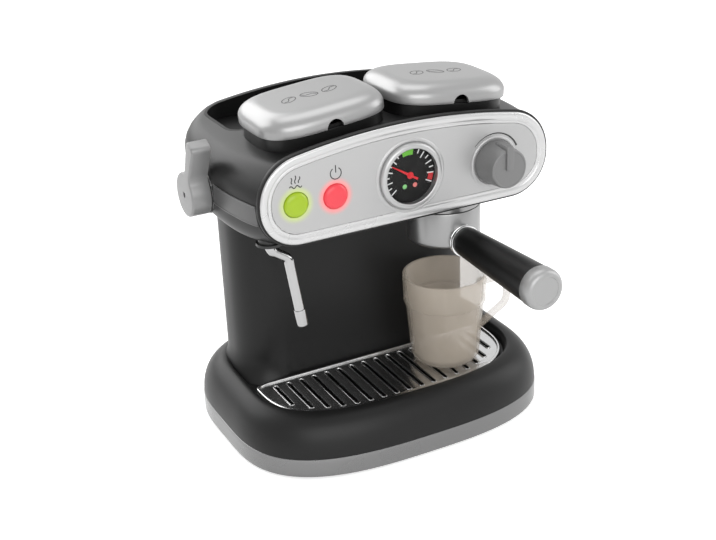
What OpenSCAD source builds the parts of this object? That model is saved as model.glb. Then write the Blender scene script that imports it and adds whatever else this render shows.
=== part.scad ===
// Toy espresso machine with a drip tray, a portafilter, a steam wand, two lidded bins
// and a cup. Millimetres, +Z up, front towards -Y. The origin is on the floor under
// the middle of the base.

/* [Base] */
// Width of the base across its silver skirt
base_w = 210; // [200:1:225]
// Depth of the base from front to back
base_d = 166; // [162:1:180]
// Straight run in the middle of each side of the base
base_mid = 20; // [10:1:30]
// Squareness of the base's rounded outline
base_power = 2.9; // [2.6:0.1:3.4]
// Height of the skirt's lower edge above the floor, and thickness of the rubber feet
foot_h = 1.2; // [0.8:0.1:2]
// Diameter of a rubber foot
foot_d = 14; // [10:1:18]
// Height of the skirt's upper edge
skirt_top = 13.3; // [11:0.1:15]
// Wall of the skirt
skirt_wall = 2.4; // [1.6:0.1:3]
// Thickness of the plate that closes the base
plate_t = 2.2; // [1.6:0.1:3]
// Wall of the black base shell
base_wall = 2.2; // [1.6:0.1:2.6]
// Height of the base shell's rounded crest
crest_z = 37.5; // [35:0.5:42]
// Distance of the crest from the base's edge
crest_inset = 15; // [13:0.5:16]
// Height of the deck inside the crest
deck_z = 30.4; // [28:0.1:32]

/* [Drip tray and grille] */
// Width of the grille
grille_w = 168; // [150:1:172]
// Depth of the grille's rounded front, from the line where its sides begin
grille_front_d = 54.6; // [48:0.1:54.6]
// Thickness of the grille's sheet
grille_t = 1.4; // [1:0.1:2]
// Number of slots in the grille
slot_count = 17; // [9:2:19]
// Distance from slot to slot
slot_pitch = 8.95; // [7:0.05:9]
// Width of a slot
slot_w = 2.2; // [1.4:0.1:3]
// Margin from the grille's edge to the ends of the slots
slot_margin = 7; // [5:0.5:10]
// Depth of the drip tray below the deck
tray_depth = 12.4; // [8:0.2:15]
// Wall of the drip tray
tray_wall = 1.4; // [1:0.1:2]

/* [Column] */
// Width of the column
col_w = 167; // [150:1:170]
// Depth of the column
col_d = 61; // [57:1:64]
// Place of the column's front face, front to back
col_front_y = -1; // [-1.5:0.1:0]
// Radius of the column's corners
col_r = 28; // [20:0.5:28]
// Wall of the column
col_wall = 2.4; // [1.8:0.1:3]
// Height of the shelf inside the column
shelf_z = 76; // [70:1:80]
// Thickness of the shelf
shelf_t = 2; // [1.5:0.1:3]
// Width of the rear cover
cover_w = 116; // [100:1:120]
// Height of the rear cover
cover_h = 98; // [90:1:100]
// Thickness of the rear cover
cover_t = 1.6; // [1.2:0.1:2]

/* [Head] */
// Width of the head at its widest
head_w = 203.4; // [198:0.2:208]
// Width of the head where it meets the fascia
head_front_w = 191; // [189:0.5:196]
// Height of the head's underside
head_bottom = 149; // [147:0.5:151]
// Height of the head's top at the middle
head_top = 206; // [205:0.5:207]
// Place of the head's widest line, front to back
head_wide_y = -8; // [-12:1:-4]
// Place of the head's back, front to back
head_back_y = 76; // [74:1:78]
// Squareness of the head's rounded back
head_power = 4; // [3.4:0.1:4.4]
// Radius of the head's long top edges
head_edge_r = 16; // [12:0.5:18]
// Radius of the head's long bottom edges
head_chin_r = 12; // [9:0.5:13]
// Radius of the head's rear edges
head_back_r = 12; // [9:0.5:13]
// Radius of the arch over the head and the fascia
arch_r = 389; // [360:1:420]
// Wall of the head shell
head_wall = 2.4; // [1.8:0.1:2.6]
// Height of the lower edge of the grey side bands
band_z = 164.5; // [163:0.1:165]
// Height of a side band
band_h = 12; // [9:0.5:13]
// Thickness of a side band
band_t = 0.9; // [0.6:0.1:1]
// Place of a side band's rear end, front to back
band_end_y = 24; // [18:1:28]

/* [Hinge well] */
// Width of the well behind the lids
well_w = 158; // [154:1:160]
// Place of the well's front wall, front to back
well_front_y = 5; // [3:0.5:7]
// Place of the well's rear wall, front to back
well_back_y = 62; // [58:0.5:63]
// Height of the well's floor
well_floor_z = 190; // [189:0.5:192]
// Corner radius of the well
well_r = 14; // [8:0.5:16]
// Wall of the well
well_wall = 1.6; // [1.2:0.1:2]

/* [Lids and bins] */
// Width of a lid
lid_w = 79; // [76:0.5:80]
// Depth of a lid, front to back
lid_d = 65; // [62:0.5:66]
// Height of a lid
lid_h = 12; // [10:0.5:14]
// Inset of a lid's flat top from its edge
lid_round = 11.8; // [9:0.2:13]
// Squareness of a lid's outline
lid_power = 3.6; // [3.2:0.1:4]
// Wall of a lid
lid_wall = 2; // [1.6:0.1:2.4]
// Distance of a lid's middle from the machine's middle plane
lid_x = 41; // [40.8:0.1:42]
// Place of the lids' middle, front to back
lid_y = -20; // [-20.5:0.5:-19.5]
// Height of a lid's lower rim at its middle
lid_z = 210; // [209.5:0.1:211]
// Outward tilt of each lid
lid_tilt = 5.5; // [5:0.1:6]
// Radius of the finger notch in a lid
notch_r = 5.2; // [3:0.1:5.4]
// Depth of each bin below its lid
bin_depth = 24; // [20:0.5:25]
// Wall of a bin
bin_wall = 1.6; // [1.2:0.1:2]
// Inset of a bin's collar from its lid's edge
collar_inset = 1.5; // [1.2:0.1:2]
// Diameter of a lid's hinge pin
lid_pin_d = 3; // [2.4:0.1:3.4]

/* [Fascia] */
// Width of the silver fascia
fascia_w = 189; // [187:0.5:190]
// Height of the fascia's lower edge
fascia_bottom = 149.6; // [149:0.1:150.5]
// Height of the fascia's arched top edge at the middle
fascia_top = 208.6; // [208:0.1:209.5]
// Place of the fascia's front, front to back
fascia_y = -63.6; // [-64.5:0.1:-63.4]
// Thickness of the fascia's frame
frame_t = 4; // [3.6:0.1:4.4]
// Width of the fascia's raised rim
rim_w = 6.6; // [5.5:0.1:7]
// Drop of the panel below the rim
panel_drop = 0.6; // [0.3:0.1:0.8]
// Thickness of the panel inside the rim
panel_t = 2.4; // [2:0.1:2.6]
// Radius of the fascia's upper corners
fascia_r_top = 27; // [24:0.5:28]
// Radius of the fascia's lower corners
fascia_r_low = 24; // [20:0.5:25]

/* [Gauge] */
// Height of the gauge's middle
gauge_z = 176.6; // [176.6:0.1:178]
// Outer diameter of the gauge's bezel
bezel_d = 40.4; // [39:0.1:40.4]
// Diameter of the gauge's dial
dial_d = 33.9; // [32:0.1:35]
// Height of the bezel in front of the panel
bezel_h = 2.9; // [2.6:0.1:3.4]
// Length of the needle from its pivot to its tip
needle_len = 14; // [11:0.1:14.8]
// Angle of the needle from upright, positive clockwise
needle_angle = -58; // [-120:1:110]

/* [Buttons] */
// Diameter of a button
button_d = 14.8; // [13:0.1:16]
// Place of the steam button across the fascia
steam_button_x = -73; // [-74:0.1:-71]
// Place of the power button across the fascia
power_button_x = -48.5; // [-50:0.1:-47]
// Height of the buttons' middles
button_z = 174; // [172:0.1:176]
// Travel of a button
button_travel = 1.2; // [0.8:0.1:1.4]
// Height of a button in front of the panel
button_proud = 2.2; // [1.8:0.1:3]

/* [Control knob] */
// Place of the knob across the fascia
knob_x = 57; // [54:0.1:58]
// Height of the knob's middle
knob_z = 174; // [172:0.1:176]
// Diameter of the knob at its foot
knob_d = 27; // [25:0.1:29]
// Diameter of the knob at its face
knob_face_d = 23.6; // [22:0.1:25]
// Length of the knob
knob_len = 16.5; // [15:0.1:20]
// Diameter of the knob's spindle
knob_spindle_d = 5.8; // [5:0.1:6.4]

/* [Steam lever] */
// Place of the lever's axis, front to back
lever_y = 2; // [0:0.5:4]
// Height of the lever's axis
lever_z = 168; // [167:0.5:170]
// Diameter of the lever's hub
lever_d = 26.8; // [24:0.2:28]
// Width of the lever along its axis
lever_w = 12; // [10:0.2:13]
// Reach of the lever from its axis to its tip
lever_reach = 38; // [34:0.5:40]
// Forward lean of the lever
lever_lean = 25; // [15:1:30]
// Diameter of the lever's spindle
lever_spindle_d = 7; // [6:0.1:8]

/* [Steam wand] */
// Place of the wand's socket across the head
wand_x = -84; // [-85:0.5:-82]
// Place of the wand, front to back
wand_y = -47; // [-48:0.5:-45]
// Diameter of the wand's tube
wand_d = 6; // [5:0.1:6.6]
// Reach of the wand's bend towards the middle
wand_reach = 11; // [9:0.5:13]
// Height of the wand's bend
wand_bend_z = 136; // [132:0.5:138]
// Height of the wand's tip
wand_tip_z = 91.2; // [86:0.5:98]
// Inward drift of the wand from its bend to its tip
wand_drift = 6.7; // [4:0.1:8]
// Length of the wand's nozzle
nozzle_len = 11; // [8:0.5:14]

/* [Portafilter] */
// Place of the group's axis across the machine
group_x = 40.7; // [38:0.1:43]
// Place of the group's axis, front to back
group_y = -31.3; // [-32:0.1:-30.5]
// Diameter of the group ring and the portafilter's bowl
bowl_d = 45.6; // [42:0.2:48]
// Height of the bowl's underside
bowl_bottom = 118.8; // [117:0.1:120]
// Height of the bowl's top
bowl_top = 141.6; // [140:0.1:142.5]
// Wall of the bowl
bowl_wall = 2.3; // [1.8:0.1:3]
// Height of the handle's axis
handle_z = 124; // [123:0.1:125]
// Diameter of the grip next to the bowl
grip_d = 18.4; // [16:0.1:19]
// Diameter of the grip at its far end
grip_end_d = 24.2; // [22:0.1:25]
// Place of the handle's end, front to back
handle_end_y = -142; // [-146:0.5:-132]
// Length of the handle's silver end cap
cap_len = 9; // [8:0.1:13]
// Diameter of the rod inside the handle
rod_d = 8; // [6:0.1:9]

/* [Cup] */
// Outer diameter of the cup's rim
cup_d = 53.6; // [50:0.2:54]
// Outer diameter of the cup above its rounded foot
cup_low_d = 44.6; // [42:0.2:46]
// Height of the cup
cup_h = 61; // [56:0.5:64]
// Height of the step below the cup's upper band
cup_step_h = 42; // [38:0.5:44]
// Wall of the cup
cup_wall = 1.8; // [1.4:0.1:2.2]
// Reach of the cup's handle from the cup's axis
cup_reach = 50; // [44:0.5:52]

/* [Pump] */
// Diameter of the pump's motor
motor_d = 24; // [20:0.5:26]
// Height of the pump's motor
motor_h = 26; // [22:0.5:28]
// Diameter of the pump's housing
pump_d = 28; // [26:0.5:30]
// Height of the pump's housing
pump_h = 16; // [14:0.5:18]
// Diameter of the hoses
hose_d = 5.4; // [4:0.1:6]

/* [Battery compartment] */
// Diameter of a battery cell
cell_d = 14.5; // [14:0.1:14.6]
// Length of a battery cell
cell_len = 50.4; // [49:0.1:50.6]
// Number of battery cells
cell_count = 3; // [2:1:3]

/* [Fits] */
// Running clearance of a shaft in its bore, measured on the radius
run_fit = 0.05; // [0.03:0.01:0.09]
// Clearance of fixed pieces that drop into each other
seat_fit = 0.15; // [0.1:0.01:0.25]
// Clearance in front of and beside the moving pieces
move_gap = 0.4; // [0.3:0.05:0.6]

/* [Hidden] */
$fn = 64;
cut = 0.5;               // overshoot of a cutting shape past the face it cuts
body_black = [0.13, 0.13, 0.135];
deep_black = [0.06, 0.06, 0.065];
silver = [0.74, 0.74, 0.75];
steel = [0.8, 0.8, 0.82];
knob_grey = [0.58, 0.58, 0.59];

// ---------- shared outlines ----------

// Rounded-square curve: the coordinate for the cosine or sine c of the angle
function curve(c, power) = sign(c) * pow(abs(c), 2 / power);

// Closed superellipse outline with half width a and half depth b, count points
function superellipse(a, b, power, count) =
    [for (i = [0:count - 1]) let (t = 360 * (i + 0.5) / count)
        [a * curve(cos(t), power), b * curve(sin(t), power)]];

// Outline of the base at a distance inside its edge
function base_outline(inset) =
    [for (p = superellipse(base_w / 2 - inset, (base_d - base_mid) / 2 - inset,
                           base_power, 64))
        [p[0], p[1] + sign(p[1]) * base_mid / 2]];

// Arc of points from angle a to angle b, steps + 1 points
function arc(x, y, r, a, b, steps) =
    [for (i = [0:steps]) let (t = a + (b - a) * i / steps)
        [x + r * cos(t), y + r * sin(t)]];

// Upright outline with an arched top, used for the fascia and for the head's sections
function arched(half_w, low, top, r_top, r_low, inset) =
    let (arc_z = top - arch_r, cx = half_w - r_top, lx = half_w - r_low,
         cz = arc_z + sqrt(pow(arch_r - r_top, 2) - cx * cx),
         turn = atan2(cz - arc_z, cx))
    concat(arc(lx, low + r_low, r_low - inset, -90, 0, 6),
           arc(cx, cz, r_top - inset, 0, turn, 7),
           [for (i = [1:9]) let (t = turn + (180 - 2 * turn) * i / 10)
               [(arch_r - inset) * cos(t), arc_z + (arch_r - inset) * sin(t)]],
           arc(-cx, cz, r_top - inset, 180 - turn, 180, 7),
           arc(-lx, low + r_low, r_low - inset, 180, 270, 6));

// Faces of a solid whose skin runs through equal rings, closed by a cap at each end
function ring_faces(rings, count) =
    concat([[for (i = [0:count - 1]) i]],
           [for (r = [0:rings - 2], i = [0:count - 1])
               let (j = (i + 1) % count)
               [r * count + i, (r + 1) * count + i, (r + 1) * count + j, r * count + j]],
           [[for (i = [count - 1:-1:0]) (rings - 1) * count + i]]);

function joined(rings) = [for (r = rings, p = r) p];
function reversed(list) = [for (i = [len(list) - 1:-1:0]) list[i]];

// Solid through a list of equal rings of points. Each ring runs anticlockwise as seen
// from the end of the list
module loft(rings) {
    polyhedron(points = joined(rings), faces = ring_faces(len(rings), len(rings[0])),
               convexity = 6);
}

// Flat rounded rectangle between two corners, with true arcs
module rounded(x0, y0, x1, y1, r) {
    translate([x0 + r, y0]) square([x1 - x0 - 2 * r, y1 - y0]);
    translate([x0, y0 + r]) square([x1 - x0, y1 - y0 - 2 * r]);
    for (x = [x0 + r, x1 - r], y = [y0 + r, y1 - r]) translate([x, y]) circle(r);
}

// Flat ring
module ring(r_out, r_in, h) {
    difference() {
        cylinder(r = r_out, h = h);
        translate([0, 0, -cut]) cylinder(r = r_in, h = h + 2 * cut);
    }
}

// Cylinder that points backwards, from a front place y
module backwards(x, y, z) {
    translate([x, y, z]) rotate([-90, 0, 0]) children();
}

// Straight round rod between two points
module rod(a, b, r) {
    d = b - a;
    reach = norm(d);
    translate(a) rotate([0, acos(d[2] / reach), atan2(d[1], d[0])]) cylinder(r = r, h = reach);
}

function unit(v) = v / norm(v);

// Centre line of a flat path whose corners are bent to a radius, as a list of stops
// [x, y, heading]
function bent_line(path, bend_r, steps) =
    let (last = len(path) - 1,
         legs = [for (i = [0:last - 1]) unit(path[i + 1] - path[i])])
    concat([[path[0][0], path[0][1], atan2(legs[0][1], legs[0][0])]],
           [for (i = [1:last - 1])
               let (into = legs[i - 1], turn = acos(into * legs[i]),
                    side = sign(cross(into, legs[i])), heading = atan2(into[1], into[0]),
                    start = path[i] - into * bend_r * tan(turn / 2),
                    middle = start + side * bend_r * [-into[1], into[0]])
               for (k = [0:steps]) let (h = heading + side * turn * k / steps)
                   [middle[0] + side * bend_r * sin(h), middle[1] - side * bend_r * cos(h), h]],
           [[path[last][0], path[last][1], atan2(legs[last - 1][1], legs[last - 1][0])]]);

// Round tube along a flat path of [x, y] points
module flat_tube(path, bend_r, r, sides, steps) {
    loft([for (s = bent_line(path, bend_r, steps))
        [for (i = [0:sides - 1]) let (a = 360 * i / sides)
            [s[0] - r * cos(a) * sin(s[2]), s[1] + r * cos(a) * cos(s[2]), r * sin(a)]]]);
}

// Round screw, head down, from the face that its head sits under
module screw(head_r, head_h, shaft_r, length) {
    difference() {
        cylinder(r = head_r, h = head_h);
        for (a = [0, 90]) rotate(a)
            translate([-head_r * 0.6, -0.4, -cut]) cube([head_r * 1.2, 0.8, cut + head_h / 2]);
    }
    cylinder(r = shaft_r, h = length);
}

// ---------- base ----------

plate_top = foot_h + plate_t;
boss_r = 4.2;
screw_r = 1.5;
screw_head_r = 2.9;
screw_head_h = 1.6;
boss_h = 4.4;
screw_len = 13;
side_screw_x = base_w / 2 - 12;
side_screw_y = -30;
rear_screw_x = 56;
rear_screw_y = base_d / 2 - 13;
screw_places = [[side_screw_x, side_screw_y], [-side_screw_x, side_screw_y],
                [rear_screw_x, rear_screw_y], [-rear_screw_x, rear_screw_y]];
foot_x = base_w / 2 - 27;
foot_y = base_d / 2 - 27;

module base_skirt() {
    color(silver) translate([0, 0, foot_h]) linear_extrude(skirt_top - foot_h)
        difference() {
            polygon(base_outline(0));
            polygon(base_outline(skirt_wall));
        }
}

module base_plate() {
    color(deep_black) difference() {
        union() {
            linear_extrude(plate_top) polygon(base_outline(skirt_wall + seat_fit));
            for (p = screw_places)
                translate([p[0], p[1], 0]) cylinder(r = boss_r, h = plate_top + boss_h);
            translate([0, door_screw_y, 0]) cylinder(r = door_boss_r, h = plate_top + boss_h);
        }
        for (p = screw_places) translate([p[0], p[1], 0]) {
            translate([0, 0, -cut]) cylinder(r = screw_head_r + 0.2, h = screw_seat + cut);
            cylinder(r = screw_r + 0.1, h = plate_top + boss_h + cut);
        }
        for (x = [-foot_x, foot_x], y = [-foot_y, foot_y])
            translate([x, y, -cut]) cylinder(d = foot_d + 2 * seat_fit, h = foot_h + cut);
        translate([-door_w / 2 - seat_fit, door_y0 - seat_fit, -cut])
            cube([door_w + 2 * seat_fit, door_y1 - door_y0 + 2 * seat_fit, plate_top + 2 * cut]);
        translate([-tab_w / 2 - seat_fit, door_y1 - cut, -cut])
            cube([tab_w + 2 * seat_fit, tab_d + cut + seat_fit, door_t + cut + seat_fit]);
        translate([0, door_screw_y, 0]) cylinder(r = screw_r + 0.1, h = plate_top + boss_h + cut);
    }
}

module rubber_feet() {
    color(deep_black) for (x = [-foot_x, foot_x], y = [-foot_y, foot_y])
        translate([x, y, 0]) cylinder(d = foot_d, h = foot_h);
}

screw_seat = 2.8;        // depth of the screw heads' counterbores

module base_screws() {
    color(steel) {
        for (p = screw_places)
            translate([p[0], p[1], screw_seat - screw_head_h])
                screw(screw_head_r, screw_head_h, screw_r, screw_len);
        translate([0, door_screw_y, 0.2]) screw(screw_head_r, 1, screw_r, 6);
    }
}

// Outside of the base shell from its lower edge over the crest and down to the deck
crest_start = 14;        // height where the shell starts to curve in
deck_inset = crest_inset + 4.4;
function flat_ring(outline, z) = [for (p = outline) [p[0], p[1], z]];
base_outer = concat(
    [flat_ring(base_outline(0.3), skirt_top)],
    [for (t = [0:15:90])
        flat_ring(base_outline(0.3 + crest_inset * (1 - cos(t))),
                  crest_start + (crest_z - crest_start) * sin(t))],
    [flat_ring(base_outline(crest_inset + 2.4), crest_z - 1),
     flat_ring(base_outline(deck_inset - 0.8), crest_z - 4),
     flat_ring(base_outline(deck_inset), deck_z)]);
base_inner = concat(
    [for (t = [90:-15:0])
        flat_ring(base_outline(0.3 + base_wall + crest_inset * (1 - cos(t))),
                  crest_start + (min(crest_z, deck_z) - base_wall - crest_start) * sin(t))],
    [flat_ring(base_outline(0.3 + base_wall), skirt_top)]);

module column_plan(grow) {
    rounded(-col_w / 2 - grow, col_front_y - grow, col_w / 2 + grow,
            col_front_y + col_d + grow, col_r + grow);
}

module base_shell() {
    color(body_black) difference() {
        union() {
            loft(concat(base_inner, base_outer));
            for (p = screw_places) translate([p[0], p[1], plate_top + boss_h])
                cylinder(r = boss_r, h = deck_z - base_wall / 2 - plate_top - boss_h);
        }
        translate([0, 0, skirt_top]) linear_extrude(crest_z)
            column_plan(seat_fit);
        translate([0, 0, deck_z - 3 * base_wall]) linear_extrude(3 * base_wall + cut)
            polygon(grille_outline(3));
        for (p = screw_places) translate([p[0], p[1], 0])
            cylinder(r = screw_r + 0.1, h = screw_seat + screw_len);
    }
}

// ---------- drip tray and grille ----------

grille_side_y = -9;      // where the grille's sides turn into its rounded front
grille_back_y = col_front_y - 1.7;
grille_corner = 10;
flange_t = 0.8;
tray_top = deck_z + flange_t;
grille_top = tray_top + grille_t;

function grille_outline(inset) =
    concat([for (i = [0:32]) let (t = 180 + 180 * i / 32)
               [(grille_w / 2 - inset) * curve(cos(t), base_power),
                grille_side_y + (grille_front_d - inset) * curve(sin(t), base_power)]],
           [for (i = [1:6]) let (t = 90 * i / 6)
               [grille_w / 2 - grille_corner - inset / 2
                    + (grille_corner - inset / 2) * cos(t),
                grille_side_y + (grille_back_y - grille_side_y - inset) * sin(t)]],
           [for (i = [0:5]) let (t = 90 + 90 * i / 6)
               [-grille_w / 2 + grille_corner + inset / 2
                    + (grille_corner - inset / 2) * cos(t),
                grille_side_y + (grille_back_y - grille_side_y - inset) * sin(t)]]);

// Front end of the slot at x, on the grille's outline drawn in by the margin
function slot_front(x) =
    grille_side_y - (grille_front_d - slot_margin)
        * pow(1 - pow(abs(x) / (grille_w / 2 - slot_margin), base_power), 1 / base_power);

module drip_tray() {
    color(body_black) difference() {
        union() {
            translate([0, 0, deck_z - tray_depth]) linear_extrude(tray_depth)
                polygon(grille_outline(3 + seat_fit));
            translate([0, 0, deck_z]) linear_extrude(flange_t) polygon(grille_outline(1));
        }
        translate([0, 0, deck_z - tray_depth + tray_wall]) linear_extrude(tray_depth + cut)
            polygon(grille_outline(3 + seat_fit + tray_wall));
    }
}

module drip_grille() {
    color(steel) translate([0, 0, tray_top]) linear_extrude(grille_t) difference() {
        polygon(grille_outline(0));
        for (i = [0:slot_count - 1]) let (x = (i - (slot_count - 1) / 2) * slot_pitch,
                                          back = grille_side_y - slot_w / 2,
                                          front = slot_front(x) + slot_w / 2) {
            if (front < back) translate([x - slot_w / 2, front]) square([slot_w, back - front]);
            if (front < back) for (y = [front, back]) translate([x, y]) circle(d = slot_w);
        }
    }
}

// ---------- column ----------

col_back_y = col_front_y + col_d;
cover_mid_z = 88;
window_w = cover_w - 12;
window_h = cover_h - 12;
cover_screw_x = cover_w / 2 - 3;
cover_screw_z = cover_h / 2 - 3;
col_screw_len = 6;

module column_shell() {
    color(body_black) difference() {
        union() {
            translate([0, 0, plate_top]) linear_extrude(head_bottom - plate_top) difference() {
                column_plan(0);
                column_plan(-col_wall);
            }
            translate([0, 0, shelf_z - 2]) linear_extrude(2) difference() {
                column_plan(-col_wall / 2);
                column_plan(-col_wall - 3);
            }
            for (x = [-cover_screw_x, cover_screw_x], z = [-cover_screw_z, cover_screw_z])
                translate([x, col_back_y - col_wall / 2, cover_mid_z + z])
                    rotate([90, 0, 0]) cylinder(r = 3, h = col_screw_len);
        }
        translate([-window_w / 2, col_back_y - col_wall - cut, cover_mid_z - window_h / 2])
            cube([window_w, col_wall + 2 * cut, window_h]);
        for (x = [-cover_screw_x, cover_screw_x], z = [-cover_screw_z, cover_screw_z])
            backwards(x, col_back_y - col_screw_len - 2, cover_mid_z + z)
                cylinder(r = screw_r + 0.1, h = col_screw_len + 3);
    }
}

module rear_cover() {
    speaker_slots = 7;
    color(body_black) difference() {
        union() {
            translate([-cover_w / 2, col_back_y, cover_mid_z - cover_h / 2])
                cube([cover_w, cover_t, cover_h]);
            translate([-window_w / 2 + seat_fit, col_back_y - col_wall,
                       cover_mid_z - window_h / 2 + seat_fit])
                cube([window_w - 2 * seat_fit, col_wall, window_h - 2 * seat_fit]);
        }
        for (i = [0:speaker_slots - 1])
            translate([-12, col_back_y - col_wall - cut,
                       speaker_z + (i - (speaker_slots - 1) / 2) * 4 - 0.9])
                cube([24, col_wall + cover_t + 2 * cut, 1.8]);
        for (x = [-cover_screw_x, cover_screw_x], z = [-cover_screw_z, cover_screw_z])
            backwards(x, col_back_y - cut, cover_mid_z + z)
                cylinder(r = screw_r + 0.1, h = cover_t + 2 * cut);
    }
}

module rear_cover_screws() {
    color(steel) for (x = [-cover_screw_x, cover_screw_x], z = [-cover_screw_z, cover_screw_z])
        translate([x, col_back_y + cover_t + screw_head_h, cover_mid_z + z])
            rotate([90, 0, 0]) screw(screw_head_r, screw_head_h, screw_r, col_screw_len);
}

module chassis() {
    color(deep_black) translate([0, 0, shelf_z]) linear_extrude(shelf_t) difference() {
        column_plan(-col_wall - seat_fit);
        translate([40, col_front_y + col_d / 2]) circle(8);
        translate([-56, col_front_y + col_d / 2]) circle(8);
    }
}

// ---------- head ----------

head_front_y = fascia_y + frame_t;

// Half width of the head at a place y
function head_half(y) =
    y <= head_wide_y
    ? head_front_w / 2 + (head_w - head_front_w) / 2
        * (1 - pow((head_wide_y - y) / (head_wide_y - head_front_y), 2))
    : head_w / 2 * pow(1 - pow((y - head_wide_y) / (head_back_y - head_wide_y), head_power),
                       1 / head_power);

// How far the head's top and bottom are drawn in near its rounded back
function back_drop(y) =
    y <= head_back_y - head_back_r ? 0
    : head_back_r - sqrt(pow(head_back_r, 2) - pow(y - head_back_y + head_back_r, 2));

// Radius of the head's upper and lower corners at a place y: they grow towards the
// fascia's own corners
function front_run(y) = max(0, head_wide_y - y) / (head_wide_y - head_front_y);
function edge_at(y) = head_edge_r + (fascia_r_top - 2 - head_edge_r) * pow(front_run(y), 2);
function chin_at(y) = head_chin_r + (fascia_r_low - 1 - head_chin_r) * pow(front_run(y), 4);

// Section of the head's outside at y, drawn in by wall on all sides and behind
function head_section(y, wall) =
    let (drop = back_drop(y), half = head_half(y),
         place = y - wall * max(y - head_wide_y, 0) / (head_back_y - head_wide_y))
    [for (p = reversed(arched(half - wall, head_bottom + drop + wall,
                              head_top - drop - wall,
                              min(edge_at(y), half * 0.6) - wall,
                              min(chin_at(y), half * 0.6) - wall, 0)))
        [p[0], place, p[1]]];

head_stops = concat([for (i = [0:7]) head_front_y + (head_wide_y - head_front_y) * i / 8],
                    [for (t = [0, 12, 24, 36, 47, 56, 64, 71, 77, 82, 86])
                        head_wide_y + (head_back_y - head_wide_y) * sin(t)]);
head_outer = [for (y = head_stops) head_section(y, 0)];
head_inner = [for (y = reversed(head_stops)) head_section(y, head_wall)];

// Frame of one bin and its lid: side is -1 for the left one and 1 for the right one
module at_lid(side) {
    translate([side * lid_x, lid_y, lid_z]) rotate([0, side * lid_tilt, 0]) children();
}

module bin_plan(grow) {
    polygon(superellipse(lid_w / 2 - collar_inset + grow, lid_d / 2 - collar_inset + grow,
                         lid_power, 48));
}

module well_plan(grow) {
    rounded(-well_w / 2 - grow, well_front_y - grow, well_w / 2 + grow, well_back_y + grow,
            well_r + grow);
}

module bin_holes() {
    for (side = [-1, 1]) at_lid(side) translate([0, 0, -bin_depth - 4])
        linear_extrude(bin_depth + 8) bin_plan(seat_fit);
}

module head_shell() {
    color(body_black) difference() {
        loft(concat(head_inner, head_outer));
        bin_holes();
        translate([0, 0, well_floor_z]) linear_extrude(40) well_plan(well_wall + seat_fit);
        translate([group_x, group_y, head_bottom - cut])
            cylinder(r = group_neck_r + seat_fit, h = head_wall + 2 * cut);
        translate([wand_x, wand_y, head_bottom - cut])
            cylinder(r = socket_r + seat_fit, h = head_wall + 4);
        translate([0, 0, head_bottom - cut]) linear_extrude(head_wall + 2 * cut)
            rounded(-col_w / 2 + 12, col_front_y + 5, col_w / 2 - 12, col_back_y - 5, 16);
        translate([-head_w / 2 - cut, lever_y, lever_z]) rotate([0, 90, 0])
            cylinder(r = bushing_r + seat_fit, h = head_wall + 3 * cut);
    }
}

module hinge_well() {
    color(deep_black) difference() {
        intersection() {
            translate([0, 0, well_floor_z - well_wall]) linear_extrude(40) well_plan(well_wall);
            translate([0, -100, head_top - arch_r]) rotate([-90, 0, 0])
                cylinder(r = arch_r, h = 200, $fn = 180);
        }
        translate([0, 0, well_floor_z]) linear_extrude(40) well_plan(0);
        bin_holes();
    }
}

// Grey strip along each side of the head. The left one stops on both sides of the lever
band_stops = concat([for (i = [0:5]) head_front_y + 0.2
                        + (head_wide_y - head_front_y - 0.2) * i / 5],
                    [for (i = [1:4]) head_wide_y + (band_end_y - head_wide_y) * i / 4]);

module trim_bands() {
    far = len(band_stops) - 1;
    color(knob_grey) for (side = [-1, 1])
        translate([0, 0, band_z]) linear_extrude(band_h) difference() {
            polygon(concat(
                [for (y = band_stops) [side * (head_half(y) + band_t), y]],
                [for (i = [far:-1:0]) let (y = band_stops[i]) [side * (head_half(y) + 0.12), y]]));
            if (side < 0)
                translate([-head_half(lever_y), lever_y]) square([12, lever_d + 2], center = true);
        }
}

// ---------- fascia ----------

panel_front = fascia_y + panel_drop;
panel_back = panel_front + panel_t;
spigot_d = 2;

module fascia_plate(inset, y, thick) {
    translate([0, y + thick, 0]) rotate([90, 0, 0]) linear_extrude(thick)
        polygon(arched(fascia_w / 2, fascia_bottom, fascia_top, fascia_r_top, fascia_r_low, inset));
}

module fascia_frame() {
    color(silver) difference() {
        union() {
            fascia_plate(1, fascia_y, 1);
            fascia_plate(0, fascia_y + 1, frame_t - 1);
            fascia_plate(rim_w - 1.2, head_front_y - cut, spigot_d + cut);
        }
        fascia_plate(rim_w, fascia_y - cut, panel_drop + panel_t + cut);
        fascia_plate(rim_w + 2, fascia_y - cut, frame_t + spigot_d + 3 * cut);
    }
}

post_r = 2;
board_y = -51;
board_t = 1.6;
post_x = (steam_button_x + power_button_x) / 2;
post_places = [[post_x, button_z + 4], [post_x, button_z - 9],
               [post_x + 24.5, button_z + 4], [post_x + 24.5, button_z - 9]];

module fascia_panel() {
    color(silver) difference() {
        union() {
            fascia_plate(rim_w + seat_fit, panel_front, panel_t);
            for (p = post_places) backwards(p[0], panel_back - 0.2, p[1])
                cylinder(r = post_r, h = board_y - panel_back + 0.2);
            backwards(knob_x, panel_front - 0.3, knob_z) ring(knob_d / 2 + 3, knob_d / 2 + 2, 1);
        }
        backwards(0, panel_front - cut, gauge_z)
            cylinder(r = dial_d / 2 + 0.6 + seat_fit, h = panel_t + 2 * cut);
        for (x = [steam_button_x, power_button_x]) backwards(x, panel_front - cut, button_z)
            cylinder(r = button_d / 2 + 0.3, h = panel_t + 2 * cut);
        backwards(knob_x, panel_front - cut, knob_z)
            cylinder(r = knob_spindle_d / 2 + 0.6, h = panel_t + 2 * cut);
    }
}

// ---------- gauge ----------

bezel_bore = dial_d / 2 + run_fit;
lens_t = 0.8;
lip_t = 0.9;

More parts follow.
